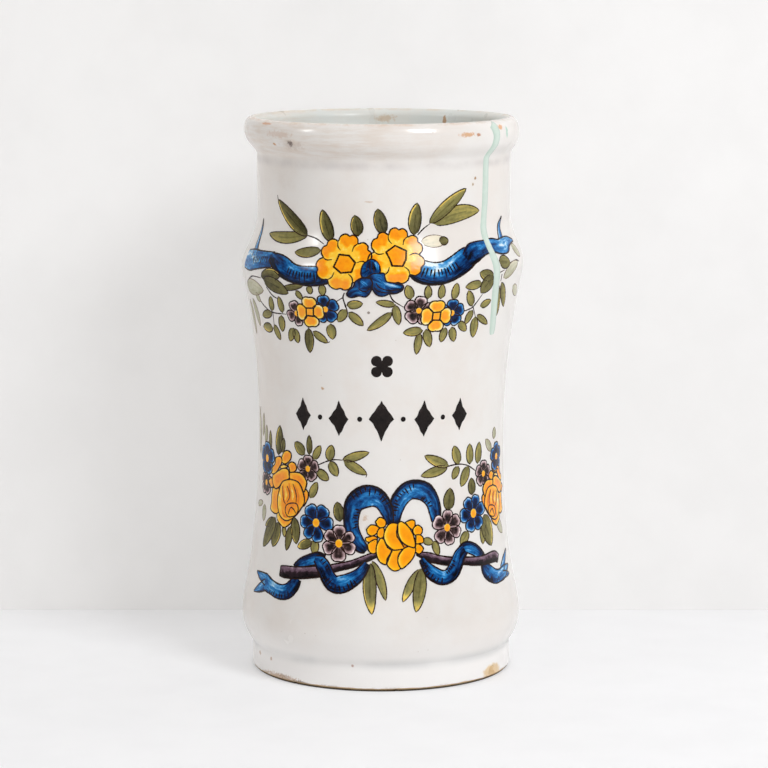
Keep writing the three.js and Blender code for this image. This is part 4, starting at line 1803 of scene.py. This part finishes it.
    knot: Rose = Rose(
        (
            Petal(((-9, 193), (-9, 195.5), (-8, 198), (-5, 199.6), (-2.5, 198), (-1.2, 195.5),
                (-1.5, 193.6), (-3.5, 192.8), (-6, 192), (-8, 191.5)), Wash(0.24, 0.46, 20)),
            Petal(((-5, 191.3), (-8.5, 191.4), (-11, 189.8), (-12, 187.4), (-14.2, 185.4), (-15, 183.6),
                (-13.6, 182.4), (-11.6, 182.6), (-9.6, 183.2), (-7, 182.8), (-5.2, 184.6), (-4.2, 187),
                (-4, 189.5)), Wash(0.46, 0.24, 270, 0.3)),
            Petal(((-6, 192), (-4, 193.3), (-1.5, 193.6), (0.5, 193.5), (1, 191.5), (2, 189.8), (5, 189.2),
                (7.6, 188.8), (8.8, 187.4), (8, 185.6), (5.6, 184.4), (3, 184.2), (0.4, 183.2), (-2, 183.6),
                (-3.6, 185.4), (-4.2, 187.4), (-4, 189.5), (-5, 191)), Wash(0.5, 0.22, 270, 0.2)),
        ),
        Colours.BLUE, 6,
        (((-5.7, 198.8), (-5.6, 196.5), (-5.2, 194.4)), ((-4.6, 198.4), (-4.2, 196.5), (-3.6, 194)),
            ((-6.8, 197.4), (-6.8, 194.6)), ((-2.6, 189.3), (-1.5, 187.5), (1, 186.2), (4, 185.8),
            (6.8, 186.2)), ((-3.4, 187.3), (-2, 185.7), (1, 184.8), (4, 184.8)), ((-10, 187), (-8.5, 185.5),
            (-6.5, 185.5), (-5, 187))),
        (((-3.6, 198.4, 0.5, 0.7), (-2.6, 196.8, 0.7, 0.78), (-2.1, 194.8, 0.4, 0.6)),
            ((-0.4, 190.2, 0.4, 0.5), (2.5, 188.4, 0.7, 0.82), (5, 187.8, 0.7, 0.84),
            (7.6, 187.2, 0.4, 0.6)), ((-3, 192.2, 0.5, 0.5), (-1, 191.8, 0.8, 0.6), (0, 190.4, 0.5, 0.5)),
            ((-9, 190, 0.5, 0.5), (-7.6, 189, 1.1, 0.62), (-6.4, 187.8, 0.6, 0.5)),
            ((-12.8, 183.8, 0.3, 0.4), (-10.6, 184.6, 0.6, 0.5), (-8, 184.2, 0.5, 0.45))),
    )

    def paint(self, painter: Painter) -> None:
        """Paint the garland from the back to the front."""
        for stem in self.stems:
            painter.line(stem, 0.4, 1.1)
        for motif in (*self.leaves, *self.ribbons, *self.suns, *self.flowers, self.knot):
            motif.paint(painter)


@dataclass
class LowerGarland:
    """The garland round the bulge: roses, posies, a bow and two twigs that hold the ribbon."""

    leaves: tuple[Leaf, ...] = leaves_of(
        # Leaves marked pale near the sides are painted pale: painted reflection of the glaze at a glancing
        # angle.
        (-80, 103, -82, 125, 4, 0, 0.2, 0.6, True), (-75, 112, -74, 123, 3, 0, 0.2, 0.5, True),
        (-71, 109, -70, 118, 3.4, 0, 0.2, 0.4, True), (-65.6, 106, -65.6, 116, 3, 0, 0.3, 0.4),
        (-57.5, 105.5, -56.5, 119.5, 6, 0, 0.9, 0.25), (-54.5, 107, -53.5, 114, 3.5, 0, 0.2, 0.35),
        (-70.3, 80.5, -70.3, 72.5, 4.5, 0, 0.3, 0.5, True), (-81, 79, -72.5, 81, 3, 0, 0.2, 0.5, True),
        (-39, 108, -45.5, 113, 5, 0, 0.6, 0.4), (-36.2, 108, -36.5, 117.2, 3.2, 0, 0.2, 0.25),
        (-33.8, 106, -30, 112.8, 3.7), (-25.6, 106.2, -24, 113.5, 4.6, 0, 0.6),
        (-25, 105.9, -21, 99.2, 4.6), (-18.5, 106.8, -5.6, 110.8, 3.9, 0, 0.5),
        (-18, 106.5, -6.6, 100.6, 4.2, 0, 0.2), (-31.8, 101.2, -25.4, 97.2, 4.4),
        (-35.3, 88, -31.6, 95.8, 4, 0, 0.4), (-19, 78.5, -21, 87.5, 5.2, 0, 0.4, 0.22),
        (-59, 75.5, -67.6, 71, 3.6, 0, 0.8, 0.6), (-58.5, 76.2, -67.8, 61, 7, 0, 0.3, 0.3, False, 1.6),
        (-55.6, 74.4, -58.7, 62.4, 7, 0, 0.6, 0.3), (-51.5, 73.4, -50.2, 68.2, 2.7, 0, 0.9, 0.6),
        (-46.5, 74, -48.3, 62.2, 4.2, 0, 0.2, 0.3), (-44.4, 78, -42.2, 66, 5.5, 0, -0.6, 0.3),
        (-33.2, 68.2, -41.4, 64.8, 4.4, 0, -0.7, 0.3, False, 1, 0.7),
        (-31.8, 69.4, -31.5, 62.2, 4.4, 0, 0.3), (-3.8, 61, 2.2, 43.2, 3.9, 0.04, 0.3, 0.5),
        (-4.5, 60, -3.7, 37, 5.8, -0.03, -0.6, 0.36, False, 1.6, 0.6),
        (18.5, 57, 9.6, 42.4, 4.2, -0.03, 0.3, 0.5, False, 1, 0.5),
        (18.8, 57, 15.2, 37.6, 5.8, 0.02, 0.3, 0.42, False, 1.6, 0.35), (20, 70, 25, 68.3, 3.4),
        (25.3, 69.2, 27.5, 62.4, 3.5), (33.5, 82.4, 34.8, 92.8, 6.2, 0, 0.3, 0.25),
        (45, 71.5, 39.8, 66, 4.6, 0, 0.3), (48.8, 88, 48.2, 96, 5, 0, 0.3, 0.25),
        (34, 103.2, 21, 108.7, 4.5, 0.02, 0.6), (33.2, 102.4, 19.2, 99.4, 4.5, 0, 0.3),
        (40, 103.2, 37, 112.1, 5, 0, 0.6), (39.7, 102.4, 36.3, 96.6, 3.9),
        (46.2, 101.8, 41.3, 92.7, 5, 0, 0.4), (47.4, 102.4, 47, 112.1, 4.8, 0, 0.4),
        (53, 102, 54.2, 112.1, 4.8, 0, 0.3), (65.3, 106.5, 59.5, 112.6, 4, 0, 0.5, 0.45, True),
        (68.5, 111.5, 68.5, 117.2, 4, 0, 0.3, 0.45, True), (56.2, 74, 54.6, 64.2, 4.6, 0, 0.2),
        (56.8, 77.6, 61.7, 62.4, 9, 0, 0.8, 0.36, False, 1.6), (69, 74, 76, 66, 5, 0, 0.4, 0.55, True),
    )
    stems: tuple[tuple[Spot, ...], ...] = (
        ((-31.2, 103.8), (-26, 106), (-22.5, 106.8), (-18.5, 106.8)), ((-6.6, 100.6), (-7.2, 99.2)),
        ((32, 102.6), (36.2, 103.2), (41, 103.2), (45.6, 102.1), (49, 100.3), (51.5, 98.8)),
        ((-38.5, 107), (-37.5, 104)),
    )
    ribbons: tuple[Ribbon, ...] = (
        Ribbon(((-71, 48.8, 0.2, 0.6), (-66, 47.6, 1.8, 0.66), (-60.5, 46.6, 2.8, 0.62)), 1.6, 0.1),
        Ribbon(((-71.2, 39.4, 0.2, 0.6), (-66, 41.8, 1.9, 0.66), (-60.5, 44.4, 2.8, 0.62)), 1.6, 0.1),
        Ribbon(((-61, 45.5, 3.8, 0.64), (-55.5, 44, 3.2, 0.68), (-50, 43, 3.3, 0.6), (-45, 44, 3.4, 0.4),
            (-41.5, 47.5, 3, 0.24), (-40, 50.5, 2.2, 0.16)), 2, 0.16, ((5, 18, -0.85, 2.4),)),
        Ribbon(((-42, 55, 1.6, 0.1), (-38, 57.8, 2.4, 0.3), (-33, 60, 2.6, 0.5), (-29, 60.7, 3, 0.42),
            (-26.5, 60, 2.6, 0.2)), 2, -0.3, (), 0.24),
        Ribbon(((-31, 60.6, 1.4, 0.3), (-28.5, 59.4, 3, 0.44), (-26, 56.5, 3.4, 0.22),
            (-24.2, 53, 3.4, 0.14), (-21, 49.9, 3.7, 0.36), (-17, 50.2, 3.9, 0.52), (-12, 52.8, 3.2, 0.4),
            (-8.6, 56, 2.4, 0.3), (-6, 60, 1.5, 0.14)), 5, 0.24, ((3, 9, 0.8, 2.6),
            (10, 26, -0.9, 3.2)), -0.16),
        Ribbon(((4.6, 78, 1.6, 0.1), (3, 83.5, 2.8, 0.2), (0.6, 88, 3.6, 0.4), (-3.2, 90.5, 4.6, 0.56),
            (-8, 90.3, 5, 0.5), (-12.5, 87, 4.4, 0.3), (-13.9, 81, 3.6, 0.4), (-13.4, 75, 3.3, 0.34),
            (-10.8, 69.5, 3.2, 0.4), (-8, 66.6, 2.4, 0.2), (-6.6, 65.4, 0.9, 0.1)), 2.6, 0.2,
            ((9, 25, -0.9, 3.8), (28, 38, 0.85, 2.2)), -0.2),
        Ribbon(((6.4, 78, 2, 0.1), (7, 84.5, 3.4, 0.34), (9.2, 89.5, 3.9, 0.56), (13, 92.9, 4.2, 0.62),
            (17, 93.4, 4.3, 0.5), (21.5, 91.8, 4.2, 0.34), (25, 87.5, 3.4, 0.44), (26.4, 82.5, 3, 0.36),
            (26.8, 78, 2.2, 0.2)), 2, -0.16, ((4, 20, 0.55, 3), (26, 34, -0.9, 2.2)), 0.2),
        Ribbon(((19, 61.5, 1.2, 0.1), (21.5, 57.5, 2.4, 0.3), (24, 54.6, 3.1, 0.5), (28, 52.3, 3.2, 0.6),
            (31.5, 52.4, 3.1, 0.46), (34.5, 54.4, 3.4, 0.34), (37, 58, 3.4, 0.44), (39.2, 61.5, 3.1, 0.3),
            (42, 63.6, 2.5, 0.14)), 5, 0.24, ((3, 14, -0.9, 2.8), (17, 25, 0.85, 2.4)), -0.18),
        Ribbon(((39.5, 63.4, 1.8, 0.14), (42.5, 64.6, 2.4, 0.4), (46.5, 63.5, 2.7, 0.54),
            (50.5, 61.2, 2.5, 0.36), (54, 58, 1.8, 0.14)), 2, -0.3, (), 0.22),
        Ribbon(((54, 55.5, 2.4, 0.14), (56, 51.4, 3.6, 0.4), (61, 48.4, 3.4, 0.56), (66, 47.8, 2.8, 0.62),
            (70.5, 48.4, 2.9, 0.66), (75, 49.5, 1.8, 0.66), (79, 50.5, 0.2, 0.6)), 2, 0.2,
            ((6, 15, -0.85, 2.2),)),
        Ribbon(((69.5, 50, 2, 0.6), (74, 54, 1.6, 0.66), (79, 58, 0.2, 0.66)), 1.6, 0.1),
        Ribbon(((69.5, 47.5, 1.6, 0.6), (74, 47, 1.4, 0.66), (78.5, 46.3, 0.2, 0.66)), 1.8, 0.1),
    )
    twigs: tuple[Twig, ...] = (
        Twig(((-51, 52.5, 2.2), (-48, 52.5, 2.7), (-40.6, 53, 2.7), (-32, 54.4, 2.6), (-27.5, 55.1, 2.3),
            (-20, 57.5, 1.7), (-13, 59.4, 1.6), (-5, 62.8, 1.4), (-1, 64.4, 1))),
        Twig(((17, 64, 0.8), (22, 62.2, 1.9), (27, 60.6, 1.9), (33, 59.2, 1.9), (41.5, 58.4, 1.7),
            (47, 57.5, 1.9), (54, 56.9, 2.1), (60, 57.2, 2.4), (64, 57, 2.4), (66.5, 55.6, 1.8))),
    )
    flowers: tuple[Blossom, ...] = (
        Blossom((-68.8, 102.4), 8, (90, 20, 160, 235, 305), Colours.SKY),
        Blossom((-69, 91), 6, (80, 150, 225, 300, 10), Colours.PURPLE, 1.2),
        Blossom((-37, 101.5), 6.4, (90, 20, 308, 235, 160), Colours.PURPLE, 1.3),
        Blossom((-31.5, 77), 9.2, (120, 58, 0, 280, 232, 180), Colours.SKY, 1.8),
        Blossom((-19.4, 68.5), 8.6, (90, 32, 340, 270, 205, 145), Colours.PURPLE, 1.7, 5),
        Blossom((32.6, 74.7), 8.4, (85, 30, 335, 280, 225, 150), Colours.PURPLE, 1.6),
        Blossom((49, 79.4), 9, (125, 73, 15, 305, 248, 183), Colours.SKY, 1.9),
        Blossom((57.4, 96.8), 6.4, (85, 155, 225, 300, 15), Colours.PURPLE, 1.3),
        Blossom((71, 103), 7, (90, 20, 160, 235, 305), Colours.SKY, 1.4),
    )
    roses: tuple[Rose, ...] = (
        Rose(
            (
                Petal(oval(-48.5, 88, 9.5, 11), Wash(0.1, 0.2), 0),
                Petal(((-54.5, 105.5), (-53, 107.5), (-50.5, 108.5), (-48, 107.5), (-48, 105), (-50, 103),
                    (-52.5, 102), (-55, 103))),
                Petal(((-60, 104), (-56.5, 105), (-54.5, 104), (-55, 102), (-56, 100.5), (-59.5, 97),
                    (-63, 96), (-63.5, 98.5), (-60.5, 101))),
                Petal(((-50, 102), (-47.5, 103.5), (-45, 103), (-44, 101), (-45, 99.5), (-48, 98.5),
                    (-49, 100.5))),
                Petal(((-66.5, 92), (-64, 94), (-62.5, 93), (-61.5, 90.5), (-63.5, 89.5))),
                Petal(((-62, 89.5), (-56.5, 90), (-57, 86.5), (-57, 84), (-56, 80.5), (-56, 78.5),
                    (-59.5, 78), (-63, 79.5), (-62.5, 83), (-62.5, 86.5))),
                Petal(((-38, 92), (-36.5, 90.5), (-36.5, 88), (-38, 85), (-39, 84), (-38.5, 87.5),
                    (-39, 90.5))),
                Petal(((-57, 78), (-55.5, 79), (-52.5, 76.5), (-49, 76), (-45.5, 78.5), (-46, 76),
                    (-48, 74), (-51, 72.5), (-53.5, 73.5), (-56.5, 75.5)), Wash(0.3, 0.86, 180, 0.2, 0.5)),
                Petal(((-56, 100.5), (-53.5, 101.5), (-51, 101.5), (-50, 101), (-52.5, 100),
                    (-55, 99.5)), Wash(0.8, 0.95)),
                Petal(((-62, 95.5), (-56.5, 98.5), (-52.5, 100), (-49.5, 99.5), (-49, 97.5), (-49, 95.5),
                    (-53.5, 93.5), (-56, 91), (-59, 89.5), (-61.5, 91),
                    (-62.5, 93.5)), Wash(0.26, 0.8, 110)),
                Petal(((-48.5, 98.5), (-45, 99), (-41.5, 99), (-39, 97.5), (-37.5, 95), (-38, 92.5),
                    (-39, 90.5), (-41, 93.5), (-43.5, 95), (-48, 95.5)), Wash(0.26, 0.8, 80)),
                Petal(((-48, 95.5), (-43.5, 95), (-41, 93), (-39, 89), (-38.5, 85.5), (-40.5, 82.5),
                    (-43, 79.5), (-45.5, 77.5), (-49, 76), (-52.5, 76.5), (-55.5, 79), (-57, 84), (-56, 89),
                    (-53.5, 93.5)), Wash(0.28, 0.78, 180)),
            ),
            Colours.YELLOW, 3.4,
            (((-53.5, 91.5), (-53, 88), (-52, 85), (-50.5, 83.5)), ((-50, 92), (-48.5, 90), (-48, 87),
                (-49.5, 84.5)), ((-46, 93.5), (-44.5, 91), (-43.5, 88), (-43.5, 85)), ((-42.5, 80),
                (-45, 78.5), (-48.5, 78), (-50.5, 80), (-50, 83), (-46.5, 84.5), (-43, 84.5), (-42, 82),
                (-43, 80)), ((-48.5, 79), (-47.5, 81.5), (-46.5, 82.5), (-44.5, 81.5), (-43.5, 80))),
            (((-51.5, 91, 0.4, 0.7), (-50.6, 88, 0.9, 0.82), (-51, 85.4, 0.4, 0.7)), ((-47.4, 92, 0.4, 0.7),
                (-46, 89, 0.8, 0.82), (-46, 86, 0.4, 0.7)), ((-54.8, 90, 0.5, 0.6), (-55, 86, 0.9, 0.84),
                (-54.4, 81.6, 0.5, 0.7)), ((-53, 92.4, 0.3, 0.2), (-52.4, 88, 0.7, 0.06),
                (-51.6, 84.6, 0.3, 0.2)), ((-48.8, 93.6, 0.3, 0.2), (-47.4, 89, 0.8, 0.06),
                (-48.4, 85.4, 0.3, 0.2)), ((-44.8, 93.2, 0.3, 0.2), (-42.6, 88.6, 0.9, 0.08),
                (-42, 84, 0.4, 0.2)), ((-53, 80.4, 0.3, 0.2), (-51.4, 78.2, 0.7, 0.08),
                (-48.6, 77.4, 0.3, 0.2))),
        ),
        Rose(
            (
                Petal(oval(7.2, 68, 7.6, 9.6), Wash(0.1, 0.2), 0),
                Petal(((-2.5, 79), (-0.5, 81), (2, 80), (2.5, 78), (1.5, 76.5), (-1, 76.5))),
                Petal(((-6.5, 75.5), (-4.5, 77.5), (-1.5, 77), (-0.5, 75.5), (-2, 73.5), (-4, 72.5),
                    (-6, 73.5))),
                Petal(((-1.5, 74.5), (-0.5, 76), (1.5, 76), (1.5, 72.5), (0, 71.5), (-1.5, 72.5))),
                Petal(((-7, 71.5), (-5.5, 72), (-3, 72.5), (-1.5, 71.5), (-2, 70), (-4.5, 69.5),
                    (-6.5, 70))),
                Petal(((-6, 68.5), (-4.5, 70), (-2, 71), (-1.5, 69), (-2, 65), (-4, 64.5), (-5.5, 66))),
                Petal(((11.5, 78.5), (14, 79.5), (16, 79), (16, 76.5), (15, 75), (13, 76.5))),
                Petal(((15.5, 76), (17.5, 77), (19.5, 75.5), (19.5, 73.5), (18, 72), (16, 72.5),
                    (15, 74.5))),
                Petal(((16.5, 72.5), (18.5, 72.5), (20, 71), (20, 69), (18, 68.5), (16.5, 68.5))),
                Petal(((16.5, 68.5), (18.5, 68), (20, 66), (18.5, 64), (17, 64), (16, 65.5))),
                Petal(((0, 71.5), (-1.5, 69), (-2, 66), (-1.5, 63), (0, 60.5), (2.5, 59.5), (3, 62),
                    (4.5, 64.5), (5, 66), (3.5, 67), (2.5, 68.5), (1.5, 71))),
                Petal(((5.5, 66), (4.5, 64), (3.5, 61.5), (3, 59.5), (4.5, 57.5), (6.5, 56.5), (9, 57.5),
                    (8, 60), (8, 63), (9, 65), (10.5, 66.5), (7.5, 66))),
                Petal(((10.5, 66.5), (9, 64.5), (8, 62.5), (8, 60), (9.5, 57.5), (12, 59), (14.5, 61.5),
                    (16, 64.5), (16, 67), (13, 67.5))),
                Petal(((8, 78), (9.5, 79), (12, 77.5), (14, 75), (15.5, 71.5), (16, 67), (13, 67.5),
                    (10.5, 69), (9, 71), (8, 74))),
                Petal(((8, 78), (5.5, 78.5), (3.5, 77.5), (2, 75), (1.5, 72), (2.5, 69), (4.5, 67),
                    (6.5, 66), (10.5, 66.5), (10.5, 67.5), (9, 70), (7.5, 72.5),
                    (7.5, 75.5)), Wash(0.26, 0.92, 190, 0.25, 0.12)),
            ),
            Colours.ROSE, 3.4,
        ),
    )

    def paint(self, painter: Painter) -> None:
        """Paint the garland from the back to the front."""
        for stem in self.stems:
            painter.line(stem, 0.4, 1.1)
        far_rose = self.roses[0].mirrored((-48.5, 88.0), (66.0, 84.0), 0.84)
        for motif in (*self.leaves, *self.ribbons, *self.twigs, *self.flowers, *self.roses, far_rose):
            motif.paint(painter)


@dataclass
class MiddleBand:
    """A row of plain lozenges with dots between them, under one quatrefoil."""

    lozenges: tuple[tuple[float, float, float, float], ...] = ((-40, 126.4, 4.6, 7.6),
        (-20.5, 125.8, 5, 8.2), (0, 126, 6, 9.4), (20.5, 125.7, 5, 8.4), (40, 126.3, 4.6, 7.6))
    dots: tuple[Spot, ...] = ((-30.3, 126), (-10.3, 126), (10.3, 126), (30.3, 126))
    foil: tuple[float, float, float] = (0.0, 150.5, 4.6)

    def paint(self, painter: Painter) -> None:
        """Paint the band."""
        for u, v, wide, tall in self.lozenges:
            turn = np.linspace(0, math.tau, 48, endpoint=False)
            c, s = np.cos(turn), np.sin(turn)
            hand = 1 + 0.05 * np.sin(3 * turn + u) + 0.03 * np.sin(7 * turn + 2 * u)
            pinch = hand / (np.abs(c) ** 0.9 + np.abs(s) ** 0.9) ** (1 / 0.9)
            rim = list(zip(u + wide * c * pinch, v + tall * s * pinch))
            painter.fill(Colours.BLACK, rim, 1.0, Wash(0.3, 0.5), 0, (u, v))
        for u, v in self.dots:
            painter.fill(Colours.BLACK, oval(u, v, 1.2, 1.2), 1.0, Wash(0.3, 0.4), 0, (u, v))
        u, v, size = self.foil
        turn = np.linspace(0, math.tau, 64, endpoint=False)
        far = size * (0.55 + 0.75 * np.abs(np.cos(2 * turn + math.pi / 2)) ** 0.6)
        rim = list(zip(u + far * np.cos(turn), v + far * np.sin(turn)))
        painter.fill(Colours.BLACK, rim, 1.0, Wash(0.3, 0.5), 0, (u, v))


@dataclass
class DriedRun:
    """The pale green run that dried on the glaze, from the crest of the rim down over the shoulder."""

    course: tuple[tuple[float, float, float, float], ...] = (
        (55.6, 258.6, 2.6, 0.5), (57, 256.2, 2.7, 0.5), (57.6, 252.6, 2.5, 0.5), (56.6, 248.6, 2.3, 0.5),
        (54.6, 244, 2.1, 0.5), (54.1, 240, 2.1, 0.5), (54, 230, 2.15, 0.5), (53.6, 222, 2.1, 0.5),
        (52.8, 214.5, 2.1, 0.5), (52.2, 210, 2.2, 0.5), (52.5, 205, 2.2, 0.5), (53.6, 199.5, 2.3, 0.5),
        (54.7, 194, 2.3, 0.5), (55.4, 186.5, 2.3, 0.5), (56.6, 178, 2.4, 0.5), (57.7, 169.7, 2.3, 0.5),
        (58.2, 164.2, 2.2, 0.5), (58.4, 162, 1.6, 0.5),
    )
    bead: float = 0.00042

    def build(self, easel: bpy.types.Object, brushes: Shaper) -> None:
        """Build the run on the wall.

        Args:
            easel: The unchipped outside coat.
            brushes: The tree that drags strokes.
        """
        sketch = Sketch("green_run")
        sketch.chain(smooth_path(self.course, 0.8), False, 0.00004, 0.5, 0.0)
        values = {
            "Wall": easel,
            "Sink": 0.0002,
            "Dome": self.bead,
            "Bristles": 11,
            "Material": RUN_FINISH.build(),
        }
        keep_shape(brushes.apply(sketch.mesh(), "dried_green_run", values), "green_glaze", "green_run")


OUTSIDE_GLAZE = GlazeFinish(
    # The low band colour, f8f6f4, is painted light that lightens the foot band.
    "tin_white_glaze", "e9e6e2", "f8f6f4", "e6e0da", "c9a483", "a58f7c",
    (
        # Painted shade: a broad warm-grey darkening over the left of the neck.
        Patch(-52, 232, (24, 20), "c3b1a4", 0.34, 60, 0.1, ragged=0.8),
        Patch(-49, 254.4, (15, 3), "c79f80", 0.36, 500, 0.25),
        Patch(-42, 249.6, (12, 4.4), "b39a86", 0.36, 460, 0.2),
        # Painted shade: a dark spot over the chip below the roll, for its hollow.
        Patch(-42.4, 250.4, (2.6, 2.2), "4f3a34", 0.8, 900, 0.3),
        Patch(-53, 249.6, (1.4, 0.9), "c08a4a", 0.8, 900, 0.5),
        Patch(-59, 258.6, (6, 0.8), "cc8d58", 0.7, 900, 0.4),
        Patch(39.5, 254.7, (7, 1.7), "d49a5e", 0.75, 620, 0.35),
        Patch(45.5, 254.4, (1.6, 1), "b8733c", 0.8, 900, 0.5),
        Patch(61.3, 257, (3, 1.6), "dc9a5c", 0.8, 700, 0.45),
        Patch(66.8, 254.4, (1.3, 3.2), "a9d0bd", 0.85, 500, 0.6),
        Patch(47.6, 234.4, (1, 0.9), "9a7036", 0.85, 1300, 0.6),
        Patch(46.2, 231.6, (1.4, 1.6), "a98752", 0.75, 1300, 0.2),
        Patch(-28.3, 139.3, (1.1, 0.9), "b98c52", 0.8, 900, 0.6),
        Patch(-5.2, 175.4, (0.7, 0.7), "6e5a4a", 0.8, 900, 0.7),
        Patch(-7.2, 80.6, (2.6, 3.4), "bf9468", 0.7, 1100, 0.2),
        Patch(-6.2, 76, (2.8, 3), "c79c6c", 0.7, 1100, 0.15),
        Patch(-5.5, 225, (2.6, 0.5), "cdb49c", 0.6, 700, 0.5),
        Patch(-12.8, 11.9, (0.7, 0.6), "a0643a", 0.6, 900, 0.7),
        Patch(-72, 9.3, (1.3, 1.3), "b58a62", 0.6, 900, 0.6),
        Patch(-60, 9, (1.2, 1), "b58a62", 0.65, 900, 0.6),
        Patch(-53, 1.6, (22, 2.8), "b88f62", 0.7, 900, 0.34),
        Patch(-50, 2.6, (15, 2.8), "7a5638", 0.75, 1500, -0.06),
        Patch(-40, 0.9, (8, 1.8), "5d4230", 0.8, 800, 0.3),
        Patch(61, 3, (7.6, 3.4), "e8cda4", 1, 420, 0.75, ragged=0.8),
    ),
)
LINING_GLAZE = GlazeFinish(
    "lining_glaze_wash", "dcdfdb", "d0d5d0", "dfddd6", "d8c0a6", "9a7c5e",
    (
        Patch(186, 255.4, (8, 3), "c9ac88", 0.6, 500, 0.3, 0.0556),
        Patch(154, 254.6, (1.5, 3.6), "b08452", 0.85, 500, 0.45, 0.0556),
    ),
    True, 0.3,
)
BISCUIT = ClayFinish("fired_buff_clay", "ecd0a8", "d8b88c", "f0dfc2")
RUN_FINISH = PaintFinish(
    "mint_green_run", ((0, "b2c8bb"), (0.5, "cedcd2"), (1, "e2eae4")), streaks=0.12, mottle=0.15, along=0.2,
    across=2, edge=-0.3,
)


@dataclass
class Studio:
    """The table, the wall behind it, the lamps and the camera."""

    wall_gap: float = 0.113
    lit_share: float = 0.56
    glow: float = 0.44
    camera_place: tuple[float, float, float] = (0.0015, -1.4739, 0.3514)
    camera_pitch: float = 8.40
    lens: float = 148.12

    def plain(self, name: str, code: str, one_sided: bool = False) -> bpy.types.Material:
        """Return a matt material with a faint grain, which the lens sees half lit and half glowing.

        Args:
            name: Its name.
            code: Its display colour.
            one_sided: Whether it is clear from behind and to the lamps, so that it can stand close.

        Returns:
            The material.
        """
        surface = Surface(name)
        tree = surface.tree
        rays = tree.add("ShaderNodeLightPath", out="Is Camera Ray").node.outputs
        seen = tree.math("MAXIMUM", rays["Is Camera Ray"], rays["Is Glossy Ray"])
        seen = tree.math("MAXIMUM", seen, rays["Is Transmission Ray"])
        full = colour(code)
        half = (full[0] * self.lit_share, full[1] * self.lit_share, full[2] * self.lit_share, 1.0)
        grain = tree.step(tree.noise(surface.at, 30.0, 3.0), 0.3, 0.7, 0.0, 0.05)
        base = tree.mix(grain, tree.mix(seen, full, half), (1.0, 1.0, 1.0, 1.0))
        material = surface.finish(base, 0.75, tree.noise(surface.at, 900.0, 2.0), 0.00003, 0.2)
        output = next(node for node in material.node_tree.nodes if node.type == "OUTPUT_MATERIAL")
        bright = tree.add("ShaderNodeEmission", {"Color": full, "Strength": tree.times(seen, self.glow)})
        shown = tree.add(
            "ShaderNodeAddShader", {0: output.inputs["Surface"].links[0].from_socket, 1: bright}
        )
        if one_sided:
            behind = tree.add("ShaderNodeNewGeometry", out="Backfacing")
            open_side = tree.math("MAXIMUM", behind, rays["Is Shadow Ray"])
            shown = tree.add(
                "ShaderNodeMixShader", {0: open_side, 1: shown, 2: tree.add("ShaderNodeBsdfTransparent")}
            )
        tree.tree.links.new(shown, output.inputs["Surface"])
        return material

    def sheet(
        self, name: str, corners: Sequence[tuple[float, float, float]], material: bpy.types.Material
    ) -> None:
        """Add a flat four-cornered piece of the stage."""
        mesh = bpy.data.meshes.new(name)
        mesh.from_pydata(corners, [], [(0, 1, 2, 3)])
        mesh.materials.append(material)
        add_object(name, mesh)

    def lamp(
        self, name: str, turn: float, rise: float, away: float, size: Spot, power: float, code: str = "ffffff"
    ) -> None:
        """Hang a soft box that faces the jar.

        Args:
            name: Its name.
            turn: Degrees round from the front towards +X.
            rise: Degrees up.
            away: Its distance in metres.
            size: Its width and height.
            power: Its power in watts.
            code: The display colour of its light.
        """
        light = bpy.data.lights.new(name, "AREA")
        light.shape, light.size, light.size_y, light.energy = "RECTANGLE", size[0], size[1], power
        light.color = colour(code)[:3]
        lamp = add_object(name, light)
        turn, rise = math.radians(turn), math.radians(rise)
        way = Vector((math.sin(turn) * math.cos(rise), -math.cos(turn) * math.cos(rise), math.sin(rise)))
        lamp.location = Vector((0, 0, 0.14)) + way * away
        lamp.rotation_euler = way.to_track_quat("Z", "Y").to_euler()

    def build(self) -> None:
        """Set up the table, the wall, the lamps, the surroundings and the camera."""
        far, low = 2.2, -0.0001
        self.sheet(
            "table_top",
            [(-far, -far, low), (far, -far, low), (far, far, low), (-far, far, low)],
            self.plain("table", "f5f5f6"),
        )
        back = self.plain("backdrop", "f3f2f1", True)
        y = self.wall_gap
        self.sheet("wall_board", [(-far, y, 0), (far, y, 0), (far, y, 1.6), (-far, y, 1.6)], back)
        self.lamp("key_box", 37, 37, 1.3, (0.4, 0.5), 9.1, "fafcff")
        self.lamp("side_box", -66, 26, 1.3, (0.18, 0.24), 2.3)
        self.lamp("top_box", 10, 80, 1.2, (1.2, 1.2), 1.9)
        self.lamp("low_fill", 8, 4, 1.5, (1.4, 0.3), 1.5)
        world = bpy.data.worlds.new("room")
        world.use_nodes = True
        world.node_tree.nodes["Background"].inputs["Color"].default_value = colour("f7f0ea")
        world.node_tree.nodes["Background"].inputs["Strength"].default_value = 0.29
        bpy.context.scene.world = world
        lens = bpy.data.cameras.new("camera")
        lens.lens, lens.sensor_width, lens.clip_start = self.lens, 36.0, 0.01
        camera = add_object("camera", lens)
        camera.location = self.camera_place
        camera.rotation_euler = (math.radians(90 - self.camera_pitch), 0.0, 0.0)
        bpy.context.scene.camera = camera
        bpy.context.scene.view_settings.view_transform = "Standard"


def main() -> None:
    """Build the studio, the jar, the run and the painting, in that order."""
    logging.basicConfig(level=logging.INFO, format="%(name)s: %(message)s")
    Studio().build()
    easel = ThrownJar().build()
    sheets, brushes = sheet_shaper(), stroke_shaper()
    DriedRun().build(easel, brushes)
    for part, motif in (("upper", UpperGarland()), ("lower", LowerGarland()), ("middle", MiddleBand())):
        painter = Painter(easel, part)
        motif.paint(painter)
        painter.finish(sheets, brushes)
    bpy.data.objects.remove(easel)


if __name__ == "__main__":
    main()
